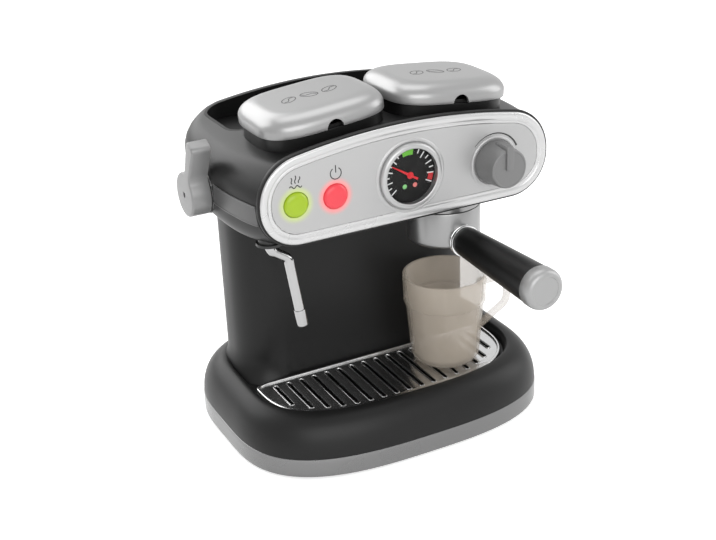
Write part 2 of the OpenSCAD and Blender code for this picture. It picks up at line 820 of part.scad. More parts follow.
module gauge_bezel() {
    r = bezel_d / 2;
    color(silver) backwards(0, panel_front, gauge_z) rotate_extrude() polygon([
        [bezel_bore, panel_t], [bezel_bore, lip_t - bezel_h], [bezel_bore - 0.9, lip_t - bezel_h],
        [bezel_bore - 0.9, 0.4 - bezel_h], [bezel_bore - 0.3, -bezel_h],
        [r - 1.9, -bezel_h], [r - 0.8, 0.6 - bezel_h], [r - 0.1, 1.6 - bezel_h], [r, 0],
        [bezel_bore + 0.5, 0], [bezel_bore + 0.5, panel_t]]);
}

module gauge_lens() {
    color([0.85, 0.9, 0.95, 0.35]) backwards(0, panel_front + lip_t - bezel_h, gauge_z)
        cylinder(d = dial_d, h = lens_t);
}

dial_y = panel_front + 1;
dial_t = 1;
pivot_r = 0.8;

module gauge_dial() {
    color(deep_black) backwards(0, dial_y, gauge_z) ring(dial_d / 2, pivot_r, dial_t);
}

module gauge_needle() {
    color([0.85, 0.1, 0.12]) backwards(0, dial_y - 1.1, gauge_z) rotate([0, 0, needle_angle])
        difference() {
            union() {
                cylinder(r = 1.7, h = 0.5);
                linear_extrude(0.5) polygon([[-0.8, 0], [0.8, 0], [0.3, -needle_len], [-0.3, -needle_len]]);
                linear_extrude(0.5) polygon([[-0.6, 0], [0.6, 0], [0.8, 6], [-0.8, 6]]);
            }
            translate([0, 0, -cut]) cylinder(r = pivot_r + run_fit, h = 0.5 + 2 * cut);
        }
}

module needle_pivot() {
    color(steel) backwards(0, dial_y - 1.6, gauge_z) {
        cylinder(r = 1.2, h = 0.4);
        cylinder(r = pivot_r, h = 1.6 + dial_t + 0.6);
    }
}

lamp_x = 3.4;
lamp_drop = 6.4;

module dial_lamps() {
    color([0.75, 0.9, 0.75]) for (x = [-lamp_x, lamp_x])
        backwards(x, dial_y, gauge_z - lamp_drop) intersection() {
            translate([0, 0, 0.8]) sphere(1.2);
            translate([-2, -2, -1]) cube([4, 4, 1]);
        }
}

// ---------- buttons ----------

flange_r = button_d / 2 + 1.6;
flange_front = panel_back + move_gap - 0.1;
stem_end = board_y - 1.7 - 0.3 - button_travel;

module push_button(x) {
    r = button_d / 2;
    backwards(x, panel_front - button_proud, button_z) rotate_extrude() polygon([
        [0, 0], [r * 0.5, 0.15], [r * 0.8, 0.6], [r - 0.5, 1.1], [r, 1.8],
        [r, flange_front - panel_front + button_proud],
        [flange_r, flange_front - panel_front + button_proud],
        [flange_r, flange_front - panel_front + button_proud + 1.2],
        [2.5, flange_front - panel_front + button_proud + 1.2],
        [2.5, stem_end - panel_front + button_proud],
        [0, stem_end - panel_front + button_proud]]);
}

module steam_button() { color([0.7, 0.85, 0.15]) push_button(steam_button_x); }
module power_button() { color([0.92, 0.35, 0.38]) push_button(power_button_x); }

module button_lamps() {
    color([0.9, 0.9, 0.8]) for (x = [steam_button_x, power_button_x], s = [-1, 1])
        backwards(x + s * 5, board_y - 3, button_z) cylinder(r = 1.5, h = 3);
}

module button_switches() {
    color(deep_black) for (x = [steam_button_x, power_button_x])
        translate([x - 3, board_y - 1.7, button_z - 3]) cube([6, 1.7, 6]);
}

module switch_board() {
    color([0.1, 0.35, 0.2]) translate([steam_button_x - 12, board_y, button_z - 12])
        cube([53, board_t, 19]);
}

// ---------- control knob ----------

knob_back = panel_front - move_gap;
knob_front = knob_back - knob_len;
switch_body_r = 9;

module control_knob() {
    r = knob_face_d / 2;
    color(knob_grey) backwards(knob_x, knob_front, knob_z) difference() {
        union() {
            rotate_extrude() polygon([[0, 0], [r - 0.8, 0], [r - 0.2, 0.3], [r, 0.9],
                                      [knob_d / 2, knob_len], [0, knob_len]]);
            translate([-2.5, -knob_d / 2 - 0.6, -1.2]) cube([5, knob_d / 2 + 0.6, knob_len * 0.7]);
        }
        translate([0, 0, 3]) cylinder(d = knob_spindle_d, h = knob_len);
    }
}

module knob_spindle() {
    color(steel) backwards(knob_x, knob_front + 3, knob_z)
        cylinder(d = knob_spindle_d, h = knob_len + 15);
}

module rotary_switch() {
    color(deep_black) backwards(knob_x, panel_back, knob_z)
        ring(switch_body_r, knob_spindle_d / 2 + run_fit, 9);
}

// ---------- steam lever ----------

bushing_r = lever_spindle_d / 2 + 2;
washer_t = 0.8;
lever_in_x = -head_w / 2 - 0.2 - washer_t - move_gap;

module steam_lever() {
    hub_r = lever_d / 2;
    tip = 5;
    color(knob_grey) difference() {
        translate([lever_in_x, lever_y, lever_z]) rotate([lever_lean, 0, 0])
            rotate([0, -90, 0]) union() {
                cylinder(r = hub_r, h = lever_w);
                linear_extrude(lever_w) polygon([
                    [0, -hub_r + 2], [hub_r * 0.7, -tip - 2.4], [lever_reach - 1, -tip],
                    [lever_reach, -tip + 1], [lever_reach, tip - 1], [lever_reach - 1, tip],
                    [hub_r * 0.7, tip + 2.4], [0, hub_r - 2]]);
            }
        translate([lever_in_x - lever_w + 3, lever_y, lever_z]) rotate([0, 90, 0])
            cylinder(d = lever_spindle_d, h = lever_w);
    }
}

module steam_spindle() {
    color(steel) translate([lever_in_x - lever_w + 3, lever_y, lever_z]) rotate([0, 90, 0])
        cylinder(d = lever_spindle_d, h = lever_w + 14);
}

module steam_bushing() {
    color(steel) difference() {
        union() {
            translate([-head_w / 2 - 0.2 - washer_t, lever_y, lever_z]) rotate([0, 90, 0])
                cylinder(r = lever_d / 2 + 0.4, h = washer_t);
            translate([-head_w / 2 - 0.4, lever_y, lever_z]) rotate([0, 90, 0])
                cylinder(r = bushing_r, h = 10);
        }
        translate([-head_w / 2 - 5, lever_y, lever_z]) rotate([0, 90, 0])
            cylinder(r = lever_spindle_d / 2 + run_fit, h = 20);
    }
}

// ---------- steam wand ----------

socket_r = 6.4;
wand_neck_r = 4.4;
wand_neck_low = head_bottom - 3;
bend = [wand_x + wand_reach, wand_y, wand_bend_z];
tip_end = [wand_x + wand_reach + wand_drift, wand_y, wand_tip_z];
fall = (tip_end - bend) / norm(tip_end - bend);
tube_end = tip_end - fall * (nozzle_len - 3);

module wand_socket() {
    color(deep_black) translate([wand_x, wand_y, head_bottom - 1.6]) difference() {
        union() {
            cylinder(r = socket_r + 1.4, h = 1.6);
            cylinder(r = socket_r, h = head_wall + 3);
        }
        translate([0, 0, -cut]) cylinder(r = wand_neck_r + run_fit, h = head_wall + 5);
    }
}

module wand_tube() {
    color(steel) {
        translate([0, wand_y, 0]) rotate([90, 0, 0])
            flat_tube([[wand_x, wand_neck_low + 1], [wand_x, wand_neck_low - 2.6],
                       [bend[0], bend[2]], [tube_end[0], tube_end[2]]], 3.6, wand_d / 2, 24, 6);
        translate([wand_x, wand_y, wand_neck_low])
            cylinder(r = wand_neck_r, h = head_bottom + head_wall + 2 - wand_neck_low);
        translate([wand_x, wand_y, head_bottom + head_wall + 1.6])
            cylinder(r = wand_neck_r + 1.4, h = 1.6);
    }
}

module wand_nozzle() {
    color(steel) difference() {
        rod(tip_end - fall * nozzle_len, tip_end, wand_d / 2 + 0.5);
        rod(tip_end - fall * (nozzle_len + 1), tube_end, wand_d / 2);
        rod(tube_end - fall, tip_end + fall, 1);
    }
}

// ---------- group and portafilter ----------

group_neck_r = 18;
neck_r = 15 - run_fit;
seal_gap = 0.05;
group_low = bowl_top + 0.4;

module group_head() {
    color(silver) translate([group_x, group_y, 0]) difference() {
        union() {
            translate([0, 0, group_low]) cylinder(d = bowl_d, h = head_bottom - group_low);
            translate([0, 0, head_bottom - cut]) cylinder(r = group_neck_r, h = head_wall + 2);
        }
        translate([0, 0, group_low - cut]) cylinder(r = neck_r + run_fit, h = 7);
        translate([0, 0, group_low]) cylinder(d = hose_d - 2, h = 20);
        translate([0, 0, group_low - cut]) ring(19, 16, 1.6 + cut);
    }
}

module group_seal() {
    color(deep_black) translate([group_x, group_y, group_low - 0.1])
        ring(19 - seal_gap, 16 + seal_gap, 1.65);
}

module portafilter_bowl() {
    r = bowl_d / 2;
    color(silver) translate([group_x, group_y, 0]) difference() {
        rotate_extrude() polygon([
            [0, bowl_bottom], [r - 2, bowl_bottom], [r - 0.6, bowl_bottom + 0.6],
            [r, bowl_bottom + 2], [r, bowl_top], [neck_r, bowl_top], [neck_r, bowl_top + 5.6],
            [neck_r - 1.4, bowl_top + 5.6], [neck_r - 1.4, bowl_top - 2],
            [r - bowl_wall, bowl_top - 2], [r - bowl_wall, bowl_bottom + 2.6],
            [0, bowl_bottom + 2.6]]);
        translate([0, 0, bowl_bottom - cut]) cylinder(r = 4.5, h = 5);
        translate([0, -r - 4, handle_z]) rotate([-90, 0, 0])
            cylinder(d = rod_d, h = 4 + bowl_wall);
    }
}

module portafilter_outlet() {
    color(deep_black) translate([group_x, group_y, bowl_bottom + 0.3]) ring(4.5, 2.5, 5);
}

collar_y = group_y - bowl_d / 2;
grip_start = collar_y - 3.4;
grip_stop = handle_end_y + cap_len;

module handle_collar() {
    color(steel) difference() {
        translate([group_x, grip_start, handle_z]) rotate([-90, 0, 0]) union() {
            cylinder(d = grip_d + 1.6, h = 1.6);
            cylinder(d = grip_d + 0.6, h = collar_y - grip_start + 6);
        }
        translate([group_x, grip_start - cut, handle_z]) rotate([-90, 0, 0])
            cylinder(d = rod_d, h = 20);
        translate([group_x, group_y, bowl_bottom - 10]) cylinder(d = bowl_d, h = 60);
    }
}

module handle_rod() {
    color(steel) translate([group_x, handle_end_y + 4, handle_z]) rotate([-90, 0, 0])
        cylinder(d = rod_d, h = collar_y + bowl_wall - handle_end_y - 4);
}

module handle_grip() {
    color(body_black) difference() {
        translate([group_x, grip_start, handle_z]) rotate([90, 0, 0])
            cylinder(d1 = grip_d, d2 = grip_end_d, h = grip_start - grip_stop);
        translate([group_x, grip_stop - cut, handle_z]) rotate([-90, 0, 0])
            cylinder(d = rod_d, h = grip_start - grip_stop + 2 * cut);
    }
}

module handle_cap() {
    r = grip_end_d / 2 + 0.4;
    color(silver) translate([group_x, handle_end_y, handle_z]) rotate([-90, 0, 0])
        rotate_extrude() polygon([
            [0, 0.3], [r - 3.6, 0], [r - 2, 0.4], [r - 0.7, 1.5], [r, 3.4], [r, cap_len],
            [rod_d / 2, cap_len], [rod_d / 2, 4], [0, 4]]);
}

// ---------- lids and bins ----------

hinge_y = lid_d / 2 + 4;
hinge_z = -4;
ear_r = 3.4;
ear_in = 11.2;
ear_t = 3;
lug_t = 2.8;

// Rings of a lid, grown inwards by wall, from its rim to its top
function lid_ring(inset, z) = [for (p = superellipse(lid_w / 2 - inset, lid_d / 2 - inset,
                                                     lid_power, 48)) [p[0], p[1], z]];
function lid_rise(wall) =
    concat([lid_ring(wall, 0)],
           [for (t = [0:18:90])
               lid_ring(wall + (lid_round - wall / 2) * (1 - cos(t)),
                        0.3 * lid_h + (0.7 * lid_h - wall) * sin(t))]);

module lid(side) {
    color(silver) at_lid(side) {
        difference() {
            union() {
                loft(concat(reversed(lid_rise(lid_wall)), lid_rise(0)));
                for (s = [-1, 1]) {
                    translate([s * (ear_in + ear_t / 2) - ear_t / 2, hinge_y, hinge_z])
                        rotate([0, 90, 0]) cylinder(r = ear_r, h = ear_t);
                    translate([s * (ear_in + ear_t / 2) - ear_t / 2, lid_d / 2 - 1.4, 0.2])
                        cube([ear_t, hinge_y + ear_r - lid_d / 2 + 1.4, 2.6]);
                    translate([s * (ear_in + ear_t / 2) - ear_t / 2, hinge_y - 0.4, hinge_z])
                        cube([ear_t, ear_r + 0.4, -hinge_z + 1]);
                }
            }
            translate([-20, hinge_y, hinge_z]) rotate([0, 90, 0])
                cylinder(r = lid_pin_d / 2 + run_fit, h = 40);
            translate([0, -lid_d / 2 - 2, 0]) rotate([-90, 0, 0]) cylinder(r = notch_r, h = 6);
        }
    }
}

module lid_left() { lid(-1); }
module lid_right() { lid(1); }

module lid_hinge_pins() {
    color(steel) for (side = [-1, 1]) at_lid(side)
        translate([-ear_in - ear_t - 1, hinge_y, hinge_z]) rotate([0, 90, 0])
            cylinder(d = lid_pin_d, h = 2 * (ear_in + ear_t + 1));
}

module bin(side) {
    at_lid(side) difference() {
        union() {
            difference() {
                union() {
                    translate([0, 0, -bin_depth]) linear_extrude(bin_depth - move_gap) bin_plan(0);
                    translate([0, 0, -bin_depth]) linear_extrude(bin_depth + 1.4)
                        bin_plan(-2.2);
                }
                translate([0, 0, -bin_depth + bin_wall]) linear_extrude(bin_depth + 4)
                    bin_plan(-2.2 - bin_wall);
            }
            for (s = [-1, 1]) {
                translate([s * (ear_in - 0.5 - lug_t / 2) - lug_t / 2, hinge_y, hinge_z])
                    rotate([0, 90, 0]) cylinder(r = ear_r - 0.4, h = lug_t);
                translate([s * (ear_in - 0.5 - lug_t / 2) - lug_t / 2,
                           lid_d / 2 - collar_inset - 1, hinge_z - ear_r + 0.4])
                    cube([lug_t, hinge_y - lid_d / 2 + collar_inset + 1, 2 * ear_r - 0.8]);
            }
        }
        translate([-20, hinge_y, hinge_z]) rotate([0, 90, 0]) cylinder(d = lid_pin_d, h = 40);
    }
}

nipple_h = 3;

module water_tank() {
    color(deep_black) difference() {
        union() {
            bin(-1);
            translate(tank_out - [0, 0, nipple_h]) cylinder(d = hose_d, h = nipple_h + 0.8);
        }
        translate(tank_out - [0, 0, nipple_h + cut]) cylinder(d = hose_d - 2, h = nipple_h + 5);
    }
}

module bean_bin() { color(deep_black) bin(1); }

// ---------- pump and hoses ----------

pump_x = -20;
pump_y = col_front_y + col_d / 2;
motor_low = shelf_z + shelf_t;
pump_low = motor_low + motor_h;
shaft_r = 1.2;

module pump_motor() {
    color(steel) translate([pump_x, pump_y, motor_low]) difference() {
        cylinder(d = motor_d, h = motor_h);
        translate([0, 0, motor_h - 6]) cylinder(r = shaft_r + run_fit, h = 7);
    }
}

module pump_housing() {
    color(deep_black) translate([pump_x, pump_y, pump_low]) difference() {
        union() {
            cylinder(d = pump_d, h = pump_h);
            rotate(group_turn) translate([pump_d / 2 - 2, 0, pump_h / 2]) rotate([0, 90, 0])
                cylinder(d = hose_d + 1.6, h = 6);
        }
        translate([0, 0, 2.5]) cylinder(d = pump_d - 4, h = pump_h - 5);
        translate([0, 0, -1]) cylinder(r = shaft_r + run_fit, h = 5);
        translate([0, 0, pump_h - 4]) cylinder(d = hose_d - 2, h = 6);
        rotate(group_turn) translate([pump_d / 2 - 3, 0, pump_h / 2]) rotate([0, 90, 0])
            cylinder(d = hose_d - 2, h = 9);
    }
}

module pump_impeller() {
    vane = pump_d / 2 - 3;
    color([0.9, 0.9, 0.88]) translate([pump_x, pump_y, pump_low]) {
        translate([0, 0, -5]) cylinder(r = shaft_r, h = pump_h - 3.5);
        translate([0, 0, 3.2]) cylinder(r = 3, h = pump_h - 6.4);
        for (a = [0:60:300]) rotate(a) translate([0, -0.6, 3.2]) cube([vane, 1.2, pump_h - 6.4]);
    }
}

tank_out = [-lid_x + bin_depth * sin(lid_tilt), lid_y + 18,
            lid_z - bin_depth * cos(lid_tilt)];
tank_away = [tank_out[0] - pump_x, tank_out[1] - pump_y];
group_away = [group_x - pump_x, group_y - pump_y];
tank_turn = atan2(tank_away[1], tank_away[0]);
group_turn = atan2(group_away[1], group_away[0]);
group_top = head_bottom - cut + head_wall + 2;
hose_rise = 30;          // distance from the pump's axis to the hose's upright stretch

// Hose in an upright plane through the pump's axis, from [distance, height] points
module pump_hose(turn, path) {
    color([0.7, 0.72, 0.72]) translate([pump_x, pump_y, 0]) rotate(turn) rotate([90, 0, 0])
        flat_tube(path, 10, hose_d / 2, 16, 5);
}

module inlet_hose() {
    top = tank_out[2] - nipple_h;
    pump_hose(tank_turn, [[norm(tank_away), top], [norm(tank_away), top - 20],
                          [0, pump_low + pump_h + 16], [0, pump_low + pump_h]]);
}

module delivery_hose() {
    middle = pump_low + pump_h / 2;
    pump_hose(group_turn, [[pump_d / 2 + 4, middle], [hose_rise, middle],
                           [hose_rise, group_top + 17], [norm(group_away), group_top + 17],
                           [norm(group_away), group_top]]);
}

// ---------- battery compartment ----------

cell_pitch = 15.2;
box_wall = 2;
box_in = cell_len + 7.2;
door_w = box_in - 0.4;
box_y0 = col_front_y + col_wall + box_wall + 0.4;
door_y0 = box_y0 + 0.2;
door_y1 = box_y0 + 3 * cell_pitch - 0.2;
door_t = 2;
tab_w = 14;
tab_d = 7;
door_boss_r = 3.4;
door_screw_y = door_y1 + 3.6;

module battery_box() {
    color(deep_black) difference() {
        translate([-box_in / 2 - box_wall, box_y0 - box_wall, plate_top])
            cube([box_in + 2 * box_wall, 3 * cell_pitch + 2 * box_wall, cell_d + 1 + box_wall]);
        translate([-box_in / 2, box_y0, plate_top - cut])
            cube([box_in, 3 * cell_pitch, cell_d + 1 + cut]);
        translate([0, door_screw_y, 0]) cylinder(r = door_boss_r + 0.3, h = 60);
    }
}

module battery_cells() {
    color([0.35, 0.5, 0.35]) for (i = [0:cell_count - 1])
        translate([-cell_len / 2 + 1, box_y0 + (i + 0.5) * cell_pitch, plate_top + cell_d / 2 + 0.3])
            rotate([0, 90, 0]) {
                cylinder(d = cell_d, h = cell_len - 1);
                translate([0, 0, cell_len - 1.1]) cylinder(r = 2.6, h = 1.1);
            }
}

module battery_contacts() {
    color(steel) for (i = [0:cell_count - 1]) let (y = box_y0 + (i + 0.5) * cell_pitch) {
        translate([cell_len / 2 + 1.1, y - 5, plate_top + 2])
            cube([box_in / 2 - cell_len / 2 - 1.2, 10, cell_d - 3]);
        translate([-box_in / 2 + 0.1, y, plate_top + cell_d / 2 + 0.3]) rotate([0, 90, 0])
            cylinder(r1 = 4.5, r2 = 3, h = box_in / 2 - cell_len / 2 + 0.8);
    }
}

module battery_door() {
    color(deep_black) difference() {
        union() {
            translate([-door_w / 2, door_y0, 0]) cube([door_w, door_y1 - door_y0, door_t]);
            translate([-tab_w / 2, door_y1 - 1, 0]) cube([tab_w, tab_d + 1, door_t]);
        }
        translate([0, door_screw_y, 0]) {
            cylinder(r = screw_r + 0.1, h = 8);
            translate([0, 0, -cut]) cylinder(r = screw_head_r + 0.2, h = 1.2 + cut);
        }
        for (i = [0:4]) translate([-6, door_y0 + 6 + i * 2.4, -cut]) cube([12, 1, cut + 0.5]);
    }
}

// ---------- speaker ----------

speaker_z = 58;

module speaker() {
    color(deep_black) translate([0, col_back_y - col_wall - 0.2, speaker_z])
        rotate([90, 0, 0]) {
            cylinder(r = 16, h = 2.4);
            cylinder(r = 10, h = 6);
        }
}

// ---------- cup ----------

cup_z = grille_top + 0.1;

// Outline of the cup from its foot to its rim, as distances from the axis and heights
cup_foot = cup_low_d / 2;
cup_rim = cup_d / 2;
cup_side = [for (t = [0:15:90]) [cup_foot - 8 + 8 * sin(t), 8 - 8 * cos(t)]];

module cup() {
    neck = cup_rim - 1.6;
    color([0.75, 0.72, 0.66, 0.6]) translate([group_x, group_y, cup_z]) difference() {
        union() {
            rotate_extrude() polygon(concat([[0, 0]], cup_side,
                [[neck, cup_step_h], [cup_rim - 0.4, cup_step_h + 0.8], [cup_rim, cup_h - 1],
                 [cup_rim - 0.5, cup_h], [0, cup_h]]));
            rotate([90, 0, 0]) flat_tube([[cup_rim - 3, cup_h - 13.4],
                [cup_reach - 2.6, cup_h - 13.4], [cup_reach - 2.6, cup_h - 32],
                [cup_foot - 1, cup_h - 47]], 8, 2.6, 16, 6);
        }
        rotate_extrude() polygon(concat([[0, cup_wall]],
            [for (p = cup_side) [p[0] - cup_wall * p[0] / cup_foot,
                                 cup_wall + p[1] * (1 - cup_wall / 8)]],
            [[neck - cup_wall, cup_step_h], [cup_rim - cup_wall, cup_step_h + 1],
             [cup_rim - cup_wall, cup_h + 1], [0, cup_h + 1]]));
    }
}

base_skirt();
base_plate();
rubber_feet();
base_screws();
base_shell();
drip_tray();
drip_grille();
column_shell();
rear_cover();
rear_cover_screws();
chassis();
head_shell();
hinge_well();
trim_bands();
fascia_frame();
fascia_panel();
gauge_bezel();
gauge_dial();
gauge_lens();
gauge_needle();
needle_pivot();
dial_lamps();
steam_button();
power_button();
button_lamps();
button_switches();
switch_board();
control_knob();
knob_spindle();
rotary_switch();
steam_lever();
steam_spindle();
steam_bushing();
wand_socket();
wand_tube();
wand_nozzle();
group_head();
group_seal();
portafilter_bowl();
portafilter_outlet();
handle_collar();
handle_rod();
handle_grip();
handle_cap();
lid_left();
lid_right();
lid_hinge_pins();
water_tank();
bean_bin();
pump_motor();
pump_housing();
pump_impeller();
inlet_hose();
delivery_hose();
battery_box();
battery_cells();
battery_contacts();
battery_door();
speaker();
cup();
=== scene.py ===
import math

import bmesh
import bpy
from mathutils import Matrix, Vector


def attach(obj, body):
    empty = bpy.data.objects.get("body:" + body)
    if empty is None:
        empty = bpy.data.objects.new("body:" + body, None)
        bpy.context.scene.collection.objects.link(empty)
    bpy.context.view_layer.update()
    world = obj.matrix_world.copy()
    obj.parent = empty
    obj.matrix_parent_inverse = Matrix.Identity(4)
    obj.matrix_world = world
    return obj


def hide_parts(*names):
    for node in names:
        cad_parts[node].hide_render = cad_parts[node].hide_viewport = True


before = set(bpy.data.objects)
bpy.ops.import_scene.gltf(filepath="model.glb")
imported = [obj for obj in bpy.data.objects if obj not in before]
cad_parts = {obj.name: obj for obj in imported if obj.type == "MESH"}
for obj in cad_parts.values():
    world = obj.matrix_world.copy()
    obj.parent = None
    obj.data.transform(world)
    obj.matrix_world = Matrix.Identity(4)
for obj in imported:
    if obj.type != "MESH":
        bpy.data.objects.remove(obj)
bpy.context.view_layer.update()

# ---------------- base skirt
# Silver band round the foot of the base: painted ABS with a fine moulded texture.
# It carries the whole machine and its top edge is a thin bright rounded lip.
MM = 0.001
BASE_HALF_W, BASE_HALF_D, BASE_MID, BASE_POWER = 105.0, 73.0, 10.0, 2.9


def curve(c, power):
    """Rounded-square coordinate for the cosine or sine c of an angle."""
    return math.copysign(abs(c) ** (2 / power), c)


def superellipse(a, b, power, count):
    """Closed outline with half width a and half depth b."""
    turns = [2 * math.pi * (i + 0.5) / count for i in range(count)]
    return [(a * curve(math.cos(t), power), b * curve(math.sin(t), power)) for t in turns]


def base_outline(inset, count=256):
    """Outline of the base at a distance inside its edge."""
    flat = superellipse(BASE_HALF_W - inset, BASE_HALF_D - inset, BASE_POWER, count)
    return [(x, y + math.copysign(BASE_MID, y)) for x, y in flat]


def level(outline, z):
    """A flat outline as a ring of points at height z."""
    return [(x, y, z) for x, y in outline]


def shade(piece, angle=32):
    """Smooth shading, with edges sharper than the angle kept crisp."""
    mesh = bmesh.new()
    mesh.from_mesh(piece.data)
    for face in mesh.faces:
        face.smooth = True
    for edge in mesh.edges:
        edge.smooth = edge.calc_face_angle(0) < math.radians(angle)
    mesh.to_mesh(piece.data)
    mesh.free()
    return piece


def show(name, data):
    """A new object in the scene for a mesh, a curve, a lamp or a camera."""
    made = bpy.data.objects.new(name, data)
    bpy.context.scene.collection.objects.link(made)
    return made


def turn_out(data, weld=0.0):
    """Joins points closer than weld and turns a mesh's faces outwards."""
    mesh = bmesh.new()
    mesh.from_mesh(data)
    if weld:
        bmesh.ops.remove_doubles(mesh, verts=mesh.verts, dist=weld)
    bmesh.ops.recalc_face_normals(mesh, faces=mesh.faces)
    mesh.to_mesh(data)
    mesh.free()


def solid(name, points, faces, angle=32):
    """An object from points in millimetres, its faces turned outwards."""
    data = bpy.data.meshes.new(name)
    data.from_pydata([(x * MM, y * MM, z * MM) for x, y, z in points], [], faces)
    turn_out(data)
    return shade(show(name, data), angle)


def skin(name, rings, loop=False, angle=32):
    """A closed solid through equal rings. With loop the last ring joins the first."""
    count = len(rings[0])
    faces = []
    for r in range(len(rings) if loop else len(rings) - 1):
        a, b = r * count, (r + 1) % len(rings) * count
        for i in range(count):
            j = (i + 1) % count
            faces.append((a + i, a + j, b + j, b + i))
    if not loop:
        faces.append(tuple(range(count - 1, -1, -1)))
        faces.append(tuple((len(rings) - 1) * count + i for i in range(count)))
    return solid(name, [p for ring in rings for p in ring], faces, angle)


def feed(tree, node, inputs):
    """Sets a node's inputs to values, or links them to the sockets that feed them."""
    for socket, value in inputs.items():
        if isinstance(value, bpy.types.NodeSocket):
            tree.links.new(value, node.inputs[socket])
        else:
            node.inputs[socket].default_value = value
    return node.outputs


def add(tree, kind, inputs=None, **settings):
    """A new shader node with its settings and inputs. Returns its outputs."""
    made = tree.nodes.new("ShaderNode" + kind)
    for name, value in settings.items():
        setattr(made, name, value)
    return feed(tree, made, inputs or {})


def fine_surface():
    """Group: cloudy tone over a colour, uneven gloss and a fine moulded grain."""
    group = bpy.data.node_groups.new("fine_surface", "ShaderNodeTree")
    for label, kind, value in (("Color", "Color", (0.5, 0.5, 0.5, 1)), ("Tone", "Float", 0.1),
                               ("Roughness", "Float", 0.4), ("Gloss Spread", "Float", 0.05),
                               ("Grain Scale", "Float", 1500.0)):
        group.interface.new_socket(label, in_out="INPUT",
                                   socket_type="NodeSocket" + kind).default_value = value
    for label, kind in (("Color", "Color"), ("Roughness", "Float"), ("Grain", "Float")):
        group.interface.new_socket(label, in_out="OUTPUT", socket_type="NodeSocket" + kind)
    into, out = group.nodes.new("NodeGroupInput").outputs, group.nodes.new("NodeGroupOutput")
    place = add(group, "TexCoord")["Object"]
    cloud = add(group, "TexNoise", {"Vector": place, "Scale": 28, "Detail": 4})["Fac"]
    grain = add(group, "TexNoise", {"Vector": place, "Scale": into["Grain Scale"],
                                    "Detail": 2})["Fac"]
    middle = add(group, "Math", {0: cloud, 1: 0.5}, operation="SUBTRACT")[0]
    shift = add(group, "Math", {0: middle, 1: into["Tone"], 2: 1}, operation="MULTIPLY_ADD")[0]
    gloss = add(group, "Math", {0: middle, 1: into["Gloss Spread"], 2: into["Roughness"]},
                operation="MULTIPLY_ADD")[0]
    tint = add(group, "VectorMath", {0: into["Color"], "Scale": shift}, operation="SCALE")[0]
    feed(group, out, {"Color": tint, "Roughness": gloss, "Grain": grain})
    return group


FINE = fine_surface()


def grey(value):
    """An sRGB grey, 0 to 255, as a linear colour."""
    return rgb(value, value, value)


def rgb(*channels):
    """An sRGB colour, 0 to 255 a channel, as a linear colour."""
    return tuple((c / 255 / 12.92) if c < 10 else ((c / 255 + 0.055) / 1.055) ** 2.4
                 for c in channels) + (1,)


def finish_of(name, colour, rough, metal=0.0, tone=0.12, spread=0.08, scale=1500, bump=0.00001,
              **shader):
    """A node material: the fine surface feeds colour, roughness and bump."""
    made = bpy.data.materials.new(name)
    made.use_nodes = True
    tree = made.node_tree
    fine = add(tree, "Group", {"Color": colour, "Tone": tone, "Roughness": rough,
                               "Gloss Spread": spread, "Grain Scale": scale}, node_tree=FINE)
    relief = add(tree, "Bump", {"Strength": 1, "Distance": bump, "Height": fine["Grain"]})
    feed(tree, tree.nodes["Principled BSDF"], {
        "Base Color": fine["Color"], "Roughness": fine["Roughness"], "Metallic": metal,
        "Normal": relief["Normal"], **{k.replace("_", " "): v for k, v in shader.items()}})
    return made


def fit(piece, body, slot, material, *nodes):
    """Material, body and the CAD nodes that the piece stands for, which are hidden. slot is not used.
    """
    piece.data.materials.clear()
    piece.data.materials.append(material)
    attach(piece, body)
    if nodes:
        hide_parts(*nodes)
    return piece


SKIRT_LOW, SKIRT_TOP, SKIRT_WALL = 1.2, 13.3, 2.4
skirt_paint = finish_of("skirt_paint", grey(126), 0.28, 0.85, tone=0.1, scale=2600, bump=0.00003)
skirt_profile = [(0.5, SKIRT_LOW), (0.15, SKIRT_LOW + 0.15), (0, SKIRT_LOW + 0.5), (0, 4), (0, 7),
                 (0, 10), (0, SKIRT_TOP - 0.6), (0.12, SKIRT_TOP - 0.22), (0.45, SKIRT_TOP - 0.03),
                 (0.8, SKIRT_TOP), (SKIRT_WALL, SKIRT_TOP), (SKIRT_WALL, SKIRT_LOW)]
base_skirt = skin("base_skirt_band", [level(base_outline(i), z) for i, z in skirt_profile], True)
fit(base_skirt, "machine", "silver", skirt_paint, "base_skirt")

# ---------------- base shell
# Black satin ABS upper shell of the base: it rolls up from the skirt to a soft crest
# and dips to the deck, with openings for the drip tray and the column.
CREST_START, CREST_Z, CREST_IN, BASE_WALL, DECK_Z = 14.0, 37.5, 15.0, 2.2, 30.4
COL_X, COL_Y0, COL_Y1, COL_R = 83.5, -1.0, 60.0, 28.0
black_satin = finish_of("black_satin", grey(25), 0.4, tone=0.16, spread=0.1, scale=2200,
                        bump=0.000012, Specular_IOR_Level=0.24)


def cosd(angle):
    """Cosine of an angle in degrees."""
    return math.cos(math.radians(angle))


def sind(angle):
    """Sine of an angle in degrees."""
    return math.sin(math.radians(angle))


def arc(x, y, across, up, start, stop, steps):
    """Points of an arc of a circle or an ellipse, its angles in degrees."""
    turns = [start + (stop - start) * i / steps for i in range(steps + 1)]
    return [(x + across * cosd(a), y + up * sind(a)) for a in turns]


def rounded(x0, y0, x1, y1, r, steps=14):
    """Rounded rectangle, anticlockwise from the right rear corner's start."""
    points = []
    for x, y, start in ((x1 - r, y1 - r, 0), (x0 + r, y1 - r, 90),
                        (x0 + r, y0 + r, 180), (x1 - r, y0 + r, 270)):
        points += arc(x, y, r, r, start, start + 90, steps)
    return points


def column_plan(grow):
    """Outline of the column seen from above, grown on all sides."""
    return rounded(-COL_X - grow, COL_Y0 - grow, COL_X + grow, COL_Y1 + grow, COL_R + grow)


